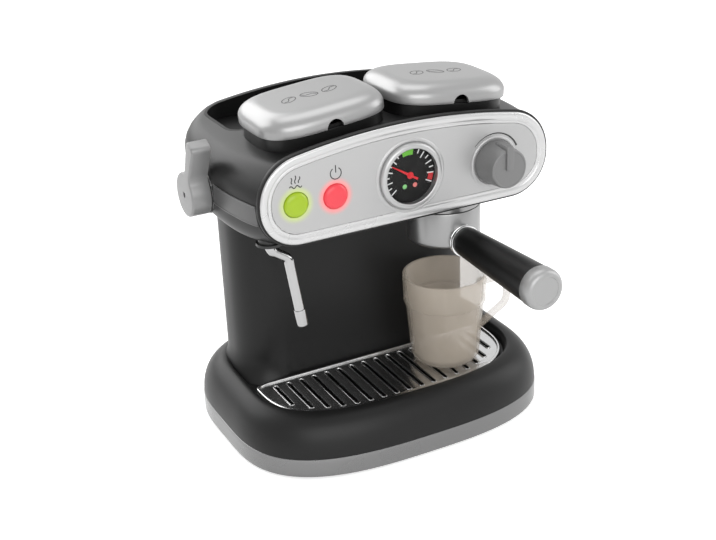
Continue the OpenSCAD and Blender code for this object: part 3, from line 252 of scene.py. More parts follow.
GRILLE_HALF, GRILLE_DEPTH, GRILLE_SIDE_Y = 84.0, 54.6, -9.0
GRILLE_BACK_Y, GRILLE_CORNER, TRAY_LEDGE, COLUMN_GAP = -2.7, 10.0, 3.0, 0.2


def grille_outline(inset, front=96, corner=10):
    """Outline of the grille: a round front and two soft rear corners."""
    points = []
    for i in range(front + 1):
        t = math.pi + math.pi * i / front
        points.append(((GRILLE_HALF - inset) * curve(math.cos(t), BASE_POWER),
                       GRILLE_SIDE_Y + (GRILLE_DEPTH - inset) * curve(math.sin(t), BASE_POWER)))
    r = GRILLE_CORNER - inset / 2
    cx = GRILLE_HALF - GRILLE_CORNER - inset / 2
    rise = GRILLE_BACK_Y - GRILLE_SIDE_Y - inset
    for start, side, stop in ((0, 1, corner + 1), (90, -1, corner)):
        for i in range(1 if side > 0 else 0, stop):
            t = math.radians(start + 90 * i / corner)
            points.append((side * cx + r * math.cos(t), GRILLE_SIDE_Y + rise * math.sin(t)))
    return points


def carve(piece, *cutters, join=False):
    """Cuts the cutters out of a piece, or joins them to it, and drops them."""
    for cutter in cutters:
        tool = piece.modifiers.new("carve", "BOOLEAN")
        tool.operation = "UNION" if join else "DIFFERENCE"
        tool.solver = "EXACT"
        tool.object = cutter
        graph = bpy.context.evaluated_depsgraph_get()
        cut = bpy.data.meshes.new_from_object(piece.evaluated_get(graph))
        piece.modifiers.clear()
        piece.data = cut
        bpy.data.objects.remove(cutter)
    return shade(piece)


def prism(outline, z0, z1):
    """An upright cutter between two heights."""
    return skin("cutter", [level(outline, z0), level(outline, z1)])


SHELL_IN = 0.3
shell_profile = [(SHELL_IN, SKIRT_TOP), (SHELL_IN, SKIRT_TOP + 0.4)]
shell_profile += arc(SHELL_IN + CREST_IN, CREST_START, -CREST_IN, CREST_Z - CREST_START, 0, 90, 18)
shell_profile += [(16.3, 37.35), (17.0, 36.95), (17.5, 36.3), (17.9, 35.4), (18.3, 34.2),
                  (18.7, 32.8), (19.0, 31.4), (19.4, 30.6), (20.2, DECK_Z), (30, DECK_Z)]
inside = arc(SHELL_IN + BASE_WALL + CREST_IN, CREST_START, -CREST_IN,
             DECK_Z - BASE_WALL - CREST_START, 90, 0, 9) + [(SHELL_IN + BASE_WALL, SKIRT_TOP)]
base_shell = skin("base_upper_shell", [level(base_outline(i), z) for i, z in
                                       [(30, DECK_Z - BASE_WALL)] + inside + shell_profile])
carve(base_shell, prism(column_plan(COLUMN_GAP), 10, 70), prism(grille_outline(TRAY_LEDGE), 20, 60))
fit(base_shell, "machine", "black_shell", black_satin, "base_shell")

# ---------------- drip tray and grille
# Chrome-plated slotted grille with a raised edge bead and rolled slot lips, clipped
# into a black moulded tray, which keeps its CAD shape.
GRILLE_LOW, GRILLE_TOP = 31.2, 32.6
SLOTS, SLOT_PITCH, SLOT_W, SLOT_MARGIN = 17, 8.95, 2.2, 7.0
chrome = finish_of("chrome", grey(222), 0.1, 1.0, tone=0.05, spread=0.06, scale=900, bump=0.000002)
grille_chrome = finish_of("grille_chrome", grey(205), 0.2, 1.0, tone=0.1, scale=1200,
                          bump=0.000006)
tray_black = finish_of("tray_black", grey(30), 0.45, tone=0.2, scale=1800, bump=0.00002)
WELD = 1e-6


def sheet_of(name, outlines, z0, z1, soft):
    """A flat sheet with holes, its edges rounded by soft, from closed outlines."""
    shape = bpy.data.curves.new(name, "CURVE")
    shape.dimensions = "2D"
    shape.fill_mode = "BOTH"
    for outline in outlines:
        line = shape.splines.new("POLY")
        line.points.add(len(outline) - 1)
        for point, (x, y) in zip(line.points, outline):
            point.co = (x * MM, y * MM, 0, 1)
        line.use_cyclic_u = True
    shape.extrude = ((z1 - z0) / 2 - soft) * MM
    shape.bevel_depth = soft * MM
    shape.bevel_resolution = 2
    shape.offset = -soft * MM
    drawn = show(name, shape)
    graph = bpy.context.evaluated_depsgraph_get()
    data = bpy.data.meshes.new_from_object(drawn.evaluated_get(graph))
    bpy.data.objects.remove(drawn)
    data.transform(Matrix.Translation((0, 0, (z0 + z1) / 2 * MM)))
    turn_out(data, WELD)
    return shade(show(name, data), 40)


def slot_outline(i, grow=0.0):
    """Outline of one slot, with round ends, or None where it would be too short."""
    x = (i - (SLOTS - 1) / 2) * SLOT_PITCH
    half, depth = GRILLE_HALF - SLOT_MARGIN, GRILLE_DEPTH - SLOT_MARGIN
    front = GRILLE_SIDE_Y - depth * (1 - (abs(x) / half) ** BASE_POWER) ** (1 / BASE_POWER)
    front, back, r = front + SLOT_W / 2, GRILLE_SIDE_Y - SLOT_W / 2, SLOT_W / 2 + grow
    if front >= back:
        return None
    return arc(x, back, r, r, 0, 180, 10) + arc(x, front, r, r, 180, 360, 10)


def sweep(name, path, radius, sides=16, closed=False):
    """A round bar along a path of points. radius may be one value or one a point."""
    points = [Vector(p) for p in path]
    count = len(points)
    radii = radius if isinstance(radius, (list, tuple)) else [radius] * count
    heading = []
    for i in range(count):
        before = points[i - 1] if closed or i else points[0]
        after = points[(i + 1) % count] if closed or i < count - 1 else points[-1]
        heading.append((after - before).normalized())
    side = heading[0].orthogonal().normalized()
    if abs(heading[0].z) < 0.9:
        side = Vector((0, 0, 1)).cross(heading[0]).normalized()
    rings = []
    for i in range(count):
        if i:
            side = (side - side.dot(heading[i]) * heading[i]).normalized()
        up = heading[i].cross(side)
        rings.append([tuple(points[i] + radii[i] * (math.cos(t) * side + math.sin(t) * up))
                      for t in (2 * math.pi * k / sides for k in range(sides))])
    return skin(name, rings, closed)


def merge(name, pieces):
    """One object from several, each kept as a solid of its own."""
    mesh = bmesh.new()
    for part in pieces:
        mesh.from_mesh(part.data)
        bpy.data.objects.remove(part)
    data = bpy.data.meshes.new(name)
    mesh.to_mesh(data)
    mesh.free()
    return show(name, data)


def refinish(material, *names):
    """Gives a finish to CAD nodes that keep their shape."""
    for name in names:
        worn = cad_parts[name].data.materials
        worn.clear()
        worn.append(material)


slots = [s for s in (slot_outline(i) for i in range(SLOTS)) if s]
plate = sheet_of("grille_plate", [grille_outline(0.3)] + slots, GRILLE_LOW, GRILLE_TOP, 0.35)
bead = sweep("grille_bead", [(x, y, GRILLE_TOP + 0.15) for x, y in grille_outline(1.2)], 1.15, 12,
             True)
lips = [sweep("slot_lip", [(x, y, GRILLE_TOP - 0.02) for x, y in slot_outline(i, 0.35)], 0.42, 8,
              True) for i in range(SLOTS) if slot_outline(i)]
drip_grille = merge("grille_chrome_sheet", [plate, bead] + lips)
fit(drip_grille, "machine", "chrome", grille_chrome, "drip_grille")
refinish(tray_black, "drip_tray")

# ---------------- column
# Black satin column behind the tray. Its sides and rear sweep out over the base's
# crest, its front goes straight down, and its rear has a window for the cover.
COL_WALL, COL_LOW, COL_TOP = 2.4, 3.4, 149.0
FLARE_LOW, FLARE_HIGH, FLARE = 30.6, 48.0, 6.5


def flared(z):
    """The column's outline at z, swept out low down at its sides and rear."""
    reach = max(0.0, min(1.0, (FLARE_HIGH - z) / (FLARE_HIGH - FLARE_LOW)))
    if z < FLARE_LOW:
        reach = 0
    grow = FLARE * reach ** 2.4
    plain, wide = column_plan(0), column_plan(1)
    points = []
    for (x, y), (wx, wy) in zip(plain, wide):
        away = 1.0 if y > 20 else max(0.0, min(1.0, (abs(x) - 52) / 24))
        away = away * away * (3 - 2 * away)
        points.append((x + (wx - x) * grow * away, y + (wy - y) * grow * away))
    return points


heights = [COL_LOW, FLARE_LOW - 0.01] + [FLARE_LOW + (FLARE_HIGH - FLARE_LOW) * k / 16
                                             for k in range(17)] + [80, 110, 130, COL_TOP]
column_rings = [level(column_plan(-COL_WALL), z) for z in (COL_TOP, COL_LOW)]
column_rings += [level(flared(z), z) for z in heights]
column = skin("column_housing", column_rings, True)
WINDOW_X, WINDOW_Z0, WINDOW_Z1 = 52.0, 45.0, 131.0
window = skin("cutter", [[(x, y, z) for x, z in rounded(-WINDOW_X, WINDOW_Z0, WINDOW_X, WINDOW_Z1,
                                                        1, 2)] for y in (55, 80)])
carve(column, window)
fit(column, "machine", "black_shell", black_satin, "column_shell")

# ---------------- head
# Arched housing of black satin ABS: a lofted shell that bulges at the sides and rounds
# off behind, open at the front for the fascia and cut out for bins, well and fittings.
HEAD_FRONT_W, HEAD_W, HEAD_FRONT_Y, HEAD_WIDE_Y, HEAD_BACK_Y = 95.5, 101.7, -59.6, -8.0, 76.0
HEAD_LOW, HEAD_TOP, ARCH_R, HEAD_EDGE_R, HEAD_CHIN_R = 149.0, 206.0, 389.0, 16.0, 12.0
HEAD_BACK_R, HEAD_WALL, HEAD_POWER, FRONT_EDGE_R, FRONT_CHIN_R = 12.0, 2.4, 4.0, 25.0, 23.0
GROUP_X, GROUP_Y = 40.7, -31.3
WAND_X, WAND_Y = -84.0, -47.0
LEVER_Y, LEVER_Z = 2.0, 168.0
LID_X, LID_Y, LID_Z, LID_TILT = 41.0, -20.0, 210.0, 5.5
LID_HALF_W, LID_HALF_D, LID_POWER, BIN_INSET, BIN_GAP = 39.5, 32.5, 3.6, 1.5, 0.15
GROUP_HOLE_R, WAND_HOLE_R, LEVER_HOLE_R = 18.15, 6.55, 5.65


def arched(half_w, low, top, r_top, r_low, inset, corner=14, crown=48):
    """Upright outline (x, z) with rounded corners and an arched top."""
    arc_z, cx, lx = top - ARCH_R, half_w - r_top, half_w - r_low
    cz = arc_z + math.sqrt((ARCH_R - r_top) ** 2 - cx * cx)
    turn = math.atan2(cz - arc_z, cx)
    spans = [(lx, low + r_low, r_low - inset, -math.pi / 2, 0, corner, 0),
             (cx, cz, r_top - inset, 0, turn, corner, 0),
             (0, arc_z, ARCH_R - inset, turn, math.pi - turn, crown, 1),
             (-cx, cz, r_top - inset, math.pi - turn, math.pi, corner, 0),
             (-lx, low + r_low, r_low - inset, math.pi, 1.5 * math.pi, corner, 0)]
    points = []
    for x, z, r, a, b, steps, trim in spans:
        for i in range(trim, steps + 1 - trim):
            t = a + (b - a) * i / steps
            points.append((x + r * math.cos(t), z + r * math.sin(t)))
    return points


def head_half(y):
    """Half width of the head at a place y."""
    if y <= HEAD_WIDE_Y:
        run = (HEAD_WIDE_Y - y) / (HEAD_WIDE_Y - HEAD_FRONT_Y)
        return HEAD_FRONT_W + (HEAD_W - HEAD_FRONT_W) * (1 - run ** 2)
    run = (y - HEAD_WIDE_Y) / (HEAD_BACK_Y - HEAD_WIDE_Y)
    return HEAD_W * (1 - run ** HEAD_POWER) ** (1 / HEAD_POWER)


def head_corners(y):
    """Radii of the head's upper and lower corners, which grow towards the fascia's."""
    run = max(0.0, HEAD_WIDE_Y - y) / (HEAD_WIDE_Y - HEAD_FRONT_Y)
    return (HEAD_EDGE_R + (FRONT_EDGE_R - HEAD_EDGE_R) * run ** 2,
            HEAD_CHIN_R + (FRONT_CHIN_R - HEAD_CHIN_R) * run ** 4)


def head_section(y, wall):
    """One section of the head, drawn in by wall on all sides and behind."""
    edge_r, chin_r = head_corners(y)
    edge = y - (HEAD_BACK_Y - HEAD_BACK_R)
    drop = 0 if edge <= 0 else HEAD_BACK_R - math.sqrt(HEAD_BACK_R ** 2 - edge ** 2)
    half = head_half(y)
    place = y - wall * max(y - HEAD_WIDE_Y, 0) / (HEAD_BACK_Y - HEAD_WIDE_Y)
    return [(x, place, z) for x, z in
            arched(half - wall, HEAD_LOW + drop + wall, HEAD_TOP - drop - wall,
                   min(edge_r, half * 0.6) - wall, min(chin_r, half * 0.6) - wall, 0)]


def at_lid(side, x, y, z):
    """A place in one lid's own frame as a place in the machine's frame."""
    t = math.radians(side * LID_TILT)
    return (side * LID_X + x * math.cos(t) + z * math.sin(t), LID_Y + y,
            LID_Z - x * math.sin(t) + z * math.cos(t))


def bin_plan(grow, count=96):
    """Outline of a bin seen from above, grown on all sides."""
    return superellipse(LID_HALF_W - BIN_INSET + grow, LID_HALF_D - BIN_INSET + grow, LID_POWER,
                        count)


def lid_prism(side, outline, z0, z1):
    """A cutter that stands square to one lid, between two heights of its frame."""
    return skin("cutter", [[at_lid(side, x, y, z) for x, y in outline] for z in (z0, z1)])


def turned(name, profile, origin, axis="Z", count=96):
    """A turned solid from a profile of (radius, run). axis Y runs backwards."""
    ox, oy, oz = origin
    rings = []
    for r, h in profile:
        r = max(r, 0.001)
        ring = []
        for k in range(count):
            t = 2 * math.pi * k / count
            c, s = r * math.cos(t), r * math.sin(t)
            ring.append({"Z": (ox + c, oy + s, oz + h), "Y": (ox + c, oy + h, oz + s),
                         "X": (ox + h, oy + c, oz + s)}[axis])
        rings.append(ring)
    hollow = profile[0] == profile[-1]
    return skin(name, rings[:-1] if hollow else rings, hollow)


def drill(radius, start, stop, place, axis="Z", count=96):
    """A round cutter along an axis, from start to stop past a place."""
    return turned("cutter", [(radius, start), (radius, stop)], place, axis, count)


head_stops = [HEAD_FRONT_Y + (HEAD_WIDE_Y - HEAD_FRONT_Y) * i / 16 for i in range(16)]
head_stops += [HEAD_WIDE_Y + (HEAD_BACK_Y - HEAD_WIDE_Y) * sind(t)
               for t in (0, 6, 12, 18, 24, 30, 36, 41, 46, 51, 56, 60, 64, 67, 70, 73, 75, 77, 79,
                         81, 83, 84.5, 86)]
head = skin("head_housing", [head_section(y, HEAD_WALL) for y in reversed(head_stops)]
            + [head_section(y, 0) for y in head_stops])
WELL_X, WELL_Y0, WELL_Y1, WELL_R, WELL_FLOOR, WELL_WALL = 79.0, 5.0, 62.0, 14.0, 190.0, 1.6
well_grow = WELL_WALL + BIN_GAP
carve(head,
      lid_prism(-1, bin_plan(BIN_GAP), -28, 8), lid_prism(1, bin_plan(BIN_GAP), -28, 8),
      prism(rounded(-WELL_X - well_grow, WELL_Y0 - well_grow, WELL_X + well_grow,
                    WELL_Y1 + well_grow, WELL_R + well_grow), WELL_FLOOR, 240),
      drill(GROUP_HOLE_R, 0, 6, (GROUP_X, GROUP_Y, HEAD_LOW - 2)),
      drill(WAND_HOLE_R, 0, 6, (WAND_X, WAND_Y, HEAD_LOW - 2)),
      prism(rounded(-71.5, 4, 71.5, 55, 16), HEAD_LOW - 2, HEAD_LOW + 4),
      drill(LEVER_HOLE_R, 0, 8, (-104, LEVER_Y, LEVER_Z), "X"))
fit(head, "machine", "black_shell", black_satin, "head_shell")
well_black = finish_of("well_black", grey(12), 0.5, tone=0.15, scale=1800, bump=0.00002,
                       Specular_IOR_Level=0.2)
refinish(well_black, "hinge_well")

# ---------------- trim bands
# Grey painted ABS strip snapped along each side of the head, with raised bright lips.
# The left one leaves room for the steam lever's hub.
BAND_Z, BAND_H, BAND_END, LEVER_D = 164.5, 12.0, 24.0, 26.8
band_grey = finish_of("band_grey", grey(84), 0.36, 0.3, tone=0.1, scale=2200)
band_profile = [(0.12, 0), (0.6, 0), (0.82, 0.1), (0.9, 0.35), (0.9, 0.75), (0.78, 0.95),
                (0.62, 1.05), (0.62, BAND_H - 1.05), (0.78, BAND_H - 0.95), (0.9, BAND_H - 0.75),
                (0.9, BAND_H - 0.35), (0.82, BAND_H - 0.1), (0.6, BAND_H), (0.12, BAND_H)]


def head_side(y, z):
    """Half width of the head's outside at a place on its side."""
    r = head_corners(y)[1]
    drop = max(0.0, HEAD_LOW + r - z)
    return head_half(y) - r + math.sqrt(r * r - drop * drop)


def band(side, y0, y1, steps):
    """A stretch of strip that follows the head's side from y0 to y1."""
    stops = [y0 + (y1 - y0) * i / steps for i in range(steps + 1)]
    return skin("band", [[(side * (head_side(y, BAND_Z + h) + o), y, BAND_Z + h)
                          for o, h in band_profile] for y in stops], angle=50)


gap = LEVER_D / 2 + 1
trim = merge("trim_strips", [band(-1, HEAD_FRONT_Y + 0.2, LEVER_Y - gap, 24),
                             band(-1, LEVER_Y + gap, BAND_END, 4),
                             band(1, HEAD_FRONT_Y + 0.2, BAND_END, 24)])
fit(trim, "machine", "grey", band_grey, "trim_bands")

# ---------------- fascia
# Silver-painted frame with a rounded rim, a thin groove and an inner step, plugged into
# the head's front. The satin panel inside it has raised rings round gauge and knob.
FASCIA_HALF, FASCIA_LOW, FASCIA_TOP, FASCIA_Y = 94.5, 149.6, 208.6, -63.6
FASCIA_R_TOP, FASCIA_R_LOW, RIM_W, PANEL_Y, PANEL_BACK = 27.0, 24.0, 6.6, -63.0, -60.6
KNOB_X, KNOB_Z, GAUGE_Z, BUTTON_Z, STEAM_X, POWER_X = 57.0, 174.0, 176.6, 174.0, -73.0, -48.5
silver_paint = finish_of("silver_paint", grey(200), 0.28, 0.6, tone=0.05, scale=3000,
                         bump=0.000006)
panel_silver = finish_of("panel_silver", grey(182), 0.42, 0.4, tone=0.05, scale=3000,
                         bump=0.000008)
rim_profile = [(5.4, -57.6), (5.4, -59.6), (0.2, -59.6), (0.02, -59.8), (0, -60.4), (0, -62.0),
               (0.1, -62.6), (0.35, -63.05), (0.8, -63.4), (1.4, -63.57), (2.0, FASCIA_Y),
               (3.0, FASCIA_Y), (3.6, -63.54), (4.1, -63.38), (4.45, -63.16), (4.7, -63.04),
               (4.95, -63.06), (5.2, -63.16), (5.6, -63.2), (6.1, -63.18), (6.45, -63.1),
               (6.58, -63.02), (RIM_W, -62.9), (RIM_W, PANEL_BACK),
               (8.6, PANEL_BACK), (8.6, -57.6)]


def fascia_ring(name, profile):
    """A closed ring along the fascia's outline, from a profile of (inset, y)."""
    edge = FASCIA_HALF, FASCIA_LOW, FASCIA_TOP, FASCIA_R_TOP, FASCIA_R_LOW
    return skin(name, [[(x, y, z) for x, z in arched(*edge, inset, 20, 64)]
                       for inset, y in profile], True)


rim = fascia_ring("fascia_rim", rim_profile)
fit(rim, "machine", "silver", silver_paint, "fascia_frame")
refinish(panel_silver, "fascia_panel")

# Dark lip of the head that shows as a line behind the rim.
lip_profile = [(1.0, -59.5), (-1.1, -59.5), (-1.25, -60.2), (-1.2, -61.6), (-0.9, -62.2),
               (-0.3, -62.4), (0.15, -62.3)]
lip = fascia_ring("fascia_lip", lip_profile)
fit(lip, "machine", "black_shell", black_satin)

# Printed icons: thin dark lines on the panel, for steam, power and the knob's range.
print_dark = finish_of("print_dark", grey(40), 0.5, scale=2500, bump=0.000004)


def strip(lines, width, rise, place):
    """Thin raised lines. Each is a list of (u, v); place maps (u, v, height) to a point."""
    made = []
    for line in lines:
        loop = line[0] == line[-1] and len(line) > 3
        points = [Vector(p[:2]) for p in (line[:-1] if line[0] == line[-1] else line)]
        widths = [p[2] if len(p) > 2 else width for p in line]
        rings = []
        for i, p in enumerate(points):
            before = points[i - 1] if loop or i else p
            after = points[(i + 1) % len(points)] if loop or i < len(points) - 1 else p
            run = (after - before).normalized()
            across = Vector((-run.y, run.x)) * widths[i] / 2
            rings.append([place(*(p + across), 0), place(*(p - across), 0),
                          place(*(p - across), rise), place(*(p + across), rise)])
        made.append(skin("line", rings, loop))
    return made


def on_panel(u, v, h):
    """A point h in front of the panel."""
    return (u, PANEL_Y - h, v)


def wave(u0, u1, v0, v1, swing, turns, steps=24):
    """A wavy line from one point to another."""
    run = Vector((u1 - u0, v1 - v0))
    across = Vector((-run.y, run.x)).normalized()
    points = []
    for i in range(steps + 1):
        s = i / steps
        p = Vector((u0, v0)) + run * s + across * swing * math.sin(2 * math.pi * turns * s)
        points.append((p.x, p.y))
    return points


def circle_line(x, z, r, a, b, steps=40, widths=None):
    """An arc, angles in degrees clockwise from the top."""
    line = []
    for i in range(steps + 1):
        t = math.radians(a + (b - a) * i / steps)
        p = (x + r * math.sin(t), z + r * math.cos(t))
        line.append(p + (widths[0] + (widths[1] - widths[0]) * i / steps,) if widths else p)
    return line


steam_icon = [wave(STEAM_X + 0.4 + 2.0 * k, STEAM_X + 0.4 + 2.6 * k, BUTTON_Z + 12.6,
                   BUTTON_Z + 17.2 - abs(k), 0.4, 1) for k in (-1, 0, 1)]
steam_icon.append(wave(STEAM_X - 3.4, STEAM_X + 4.2, BUTTON_Z + 10.6, BUTTON_Z + 10.6, 0.7, 2, 40))
power_icon = [circle_line(POWER_X + 0.8, BUTTON_Z + 13.6, 3.4, 32, 328),
              [(POWER_X + 0.8, BUTTON_Z + 14.0), (POWER_X + 0.8, BUTTON_Z + 18.4)]]
KNOB_ARC_R, ICON_LINE, PRINT_RISE = 17.4, 0.62, 0.05
knob_arc = [circle_line(KNOB_X, KNOB_Z, KNOB_ARC_R, -50, 66, 60, (0.25, 1.2))]
icons = merge("panel_print", strip(steam_icon + power_icon, ICON_LINE, PRINT_RISE, on_panel)
              + strip(knob_arc, 1, PRINT_RISE, on_panel))
fit(icons, "machine", "dial_black", print_dark)

# Raised rings on the panel round the gauge and the knob.
GAUGE_RING_R, KNOB_RING_R = 20.3, 13.7
ring_line = [(0, 0.4), (0, -0.05), (0.25, -0.4), (0.7, -0.6), (1.2, -0.62), (1.7, -0.45),
             (2.1, -0.15), (2.3, 0.02), (2.3, 0.4), (0, 0.4)]
rings = [turned("ring", [(r + out, run) for out, run in ring_line], (x, PANEL_Y, z), "Y", 128)
         for r, x, z in ((GAUGE_RING_R, 0, GAUGE_Z), (KNOB_RING_R, KNOB_X, KNOB_Z))]
fit(merge("panel_rings", rings), "machine", "silver", panel_silver)

# ---------------- gauge
# Pressure gauge: bright turned bezel, near-black dial with raised printed marks, a clear
# lens, a red needle on a red pivot and two small domed lamps.
DIAL_Y, DIAL_R = -62.0, 16.95
bezel_silver = finish_of("bezel_silver", grey(180), 0.34, 0.6, tone=0.05,
                         bump=0.000004)
dial_black = finish_of("dial_black", grey(30), 0.6, scale=2600,
                       Specular_IOR_Level=0.15)
needle_red = finish_of("needle_red", rgb(225, 35, 45), 0.35, scale=2500, bump=0.000004)
steel = finish_of("steel", grey(200), 0.24, 1.0, scale=900, bump=0.000004)
bezel = turned("gauge_ring", [(17.0, 2.4), (17.0, -2.0), (16.75, -2.0), (16.7, -2.3),
                              (16.75, -2.65), (17.0, -2.85), (17.4, -2.9), (18.3, -2.86),
                              (18.9, -2.7), (19.4, -2.35), (19.8, -1.8), (20.05, -1.2),
                              (20.15, -0.6), (20.2, 0), (17.5, 0), (17.5, 2.4), (17.0, 2.4)],
               (0, PANEL_Y, GAUGE_Z), "Y", 128)
fit(bezel, "machine", "silver", bezel_silver, "gauge_bezel")
dial = turned("gauge_face", [(0.8, 0), (0.8, 0.05), (16.2, 0), (DIAL_R, 0.25), (DIAL_R, 1),
                             (0.8, 1), (0.8, 0)], (0, DIAL_Y, GAUGE_Z), "Y", 128)
fit(dial, "machine", "dial_black", dial_black, "gauge_dial")


def on_dial(u, v, h):
    """A point h in front of the dial."""
    return (u, DIAL_Y - h, v)


def ray(angle, r0, r1):
    """A straight mark on the dial, its angle clockwise from the top."""
    t = math.radians(angle)
    return [(r0 * math.sin(t), GAUGE_Z + r0 * math.cos(t)),
            (r1 * math.sin(t), GAUGE_Z + r1 * math.cos(t))]


ticks = [ray(a, 11.6 if i % 2 == 0 else 13.2, 15.9)
         for i, a in enumerate(range(-130, 95, 14)) if not -20 < a < 11] + [ray(115, 11.6, 15.9)]
green_zone = circle_line(0, GAUGE_Z, 13.9, -19, 10)
red_zone = circle_line(0, GAUGE_Z, 14.1, 93, 112)
for name, ink, colour, slot, lines, width, rise in (
        ("gauge_marks", "mark_white", grey(235), "white_plastic", ticks, 0.7, 0.06),
        ("gauge_green_zone", "mark_green", rgb(110, 195, 60), "green", [green_zone], 3.4, PRINT_RISE),
        ("gauge_red_zone", "mark_red", rgb(205, 50, 55), "needle_red", [red_zone], 3.2, PRINT_RISE)):
    fit(merge(name, strip(lines, width, rise, on_dial)), "machine", slot,
        finish_of(ink, colour, 0.5, scale=2500, bump=0.000004))
NEEDLE_TURN, NEEDLE_HUB, NEEDLE_FRONT, NEEDLE_BACK = -58, 2.1, -63.1, -62.6
needle_line = [(-0.75, -5.8), (0.75, -5.8), (0.6, -2.05)]
needle_line += arc(0, 0, NEEDLE_HUB, NEEDLE_HUB, -70, 70, 10)
needle_line += [(0.75, 2.2), (0.25, 13.9), (-0.25, 13.9), (-0.75, 2.2)]
needle_line += arc(0, 0, NEEDLE_HUB, NEEDLE_HUB, 110, 250, 10) + [(-0.6, -2.05)]
needle_c, needle_s = cosd(NEEDLE_TURN), sind(NEEDLE_TURN)
needle_rings = []
for inset, y in ((1, NEEDLE_BACK), (1, NEEDLE_FRONT + 0.12), (0.9, NEEDLE_FRONT)):
    needle_rings.append([(inset * (u * needle_c + v * needle_s), y,
                          GAUGE_Z + inset * (-u * needle_s + v * needle_c))
                         for u, v in needle_line])
needle = skin("gauge_pointer", needle_rings)
carve(needle, drill(0.85, -64, -62, (0, 0, GAUGE_Z), "Y", 32))
fit(needle, "needle", "needle_red", needle_red, "gauge_needle")
lens_clear = finish_of("lens_clear", grey(60), 0.05, scale=500, bump=0.0000005, Alpha=0.03,
                       Specular_IOR_Level=0.3)
lamp_glow = finish_of("lamp_glow", grey(230), 0.3, bump=0.000003,
                      Emission_Strength=0.35)
lamp_tree = lamp_glow.node_tree
lamp_place = add(lamp_tree, "SeparateXYZ", {0: add(lamp_tree, "TexCoord")["Object"]})
right_lamp = add(lamp_tree, "Math", {0: lamp_place["X"], 1: 0}, operation="GREATER_THAN")[0]
lamp_colour = add(lamp_tree, "Mix", {0: right_lamp, 6: rgb(120, 185, 115), 7: rgb(200, 110, 105)},
                  data_type="RGBA")[2]
feed(lamp_tree, lamp_tree.nodes["Principled BSDF"], {"Base Color": lamp_colour,
                                                     "Emission Color": lamp_colour})
DIAL_LAMP_X, DIAL_LAMP_DROP = 3.4, 6.6
domes = [turned("dome", [(0, -0.55), (0.5, -0.52), (0.95, -0.4), (1.3, -0.2), (1.45, 0),
                         (1.45, 0.4), (0, 0.4)], (x, DIAL_Y, GAUGE_Z - DIAL_LAMP_DROP), "Y", 32)
         for x in (-DIAL_LAMP_X, DIAL_LAMP_X)]
fit(merge("gauge_lamp_domes", domes), "machine", "green", lamp_glow, "dial_lamps")
refinish(lens_clear, "gauge_lens")
refinish(needle_red, "needle_pivot")

# ---------------- buttons
# Two push buttons of tinted translucent acrylic over small lamps, each with a soft dome.
# They slide in holes of the panel, with a flange behind it.
BUTTON_R, BUTTON_FRONT = 7.4, -65.2
button_profile = [(0, 0), (2, 0.02), (3.7, 0.12), (5.0, 0.32), (5.9, 0.6), (6.5, 0.92),
                  (6.95, 1.3), (7.25, 1.7), (BUTTON_R, 2.2), (BUTTON_R, 4.9), (9, 4.9), (9, 6.1),
                  (2.5, 6.1), (2.5, 11), (0, 11)]
green_glow = finish_of("button_green", rgb(160, 190, 25), 0.3, scale=1200, bump=0.000002,
                       Emission_Color=rgb(170, 200, 30), Emission_Strength=0.06)
red_glow = finish_of("button_red", rgb(225, 60, 72), 0.3, scale=1200, bump=0.000002,
                     Emission_Color=rgb(235, 80, 90), Emission_Strength=0.18)
for x, body, slot, material in ((STEAM_X, "steam_button", "green", green_glow),
                                (POWER_X, "power_button", "red", red_glow)):
    button = turned(body + "_cap", button_profile, (x, BUTTON_FRONT, BUTTON_Z), "Y")
    fit(button, body, slot, material, body)

# Painted glow: the light of the two lamps, painted into the panel's colour round each button.
HALO_W = 4.6
panel_tree = panel_silver.node_tree
panel_place = add(panel_tree, "TexCoord")["Object"]
panel_shader = panel_tree.nodes["Principled BSDF"]
panel_colour = panel_shader.inputs["Base Color"].links[0].from_socket
for x, tint, strength in ((STEAM_X, rgb(205, 225, 110), 0.7), (POWER_X, rgb(255, 150, 150), 1.0)):
    away = add(panel_tree, "VectorMath", {0: panel_place, 1: (x * MM, PANEL_Y * MM, BUTTON_Z * MM)},
               operation="DISTANCE")["Value"]
    painted_glow = add(panel_tree, "MapRange", {"Value": away, "From Min": (BUTTON_R - 0.5) * MM,
                                        "From Max": (BUTTON_R + HALO_W) * MM,
                                        "To Min": strength, "To Max": 0},
               interpolation_type="SMOOTHSTEP")["Result"]
    panel_colour = add(panel_tree, "Mix", {0: painted_glow, 6: panel_colour, 7: tint}, data_type="RGBA")[2]
feed(panel_tree, panel_shader, {"Base Color": panel_colour})

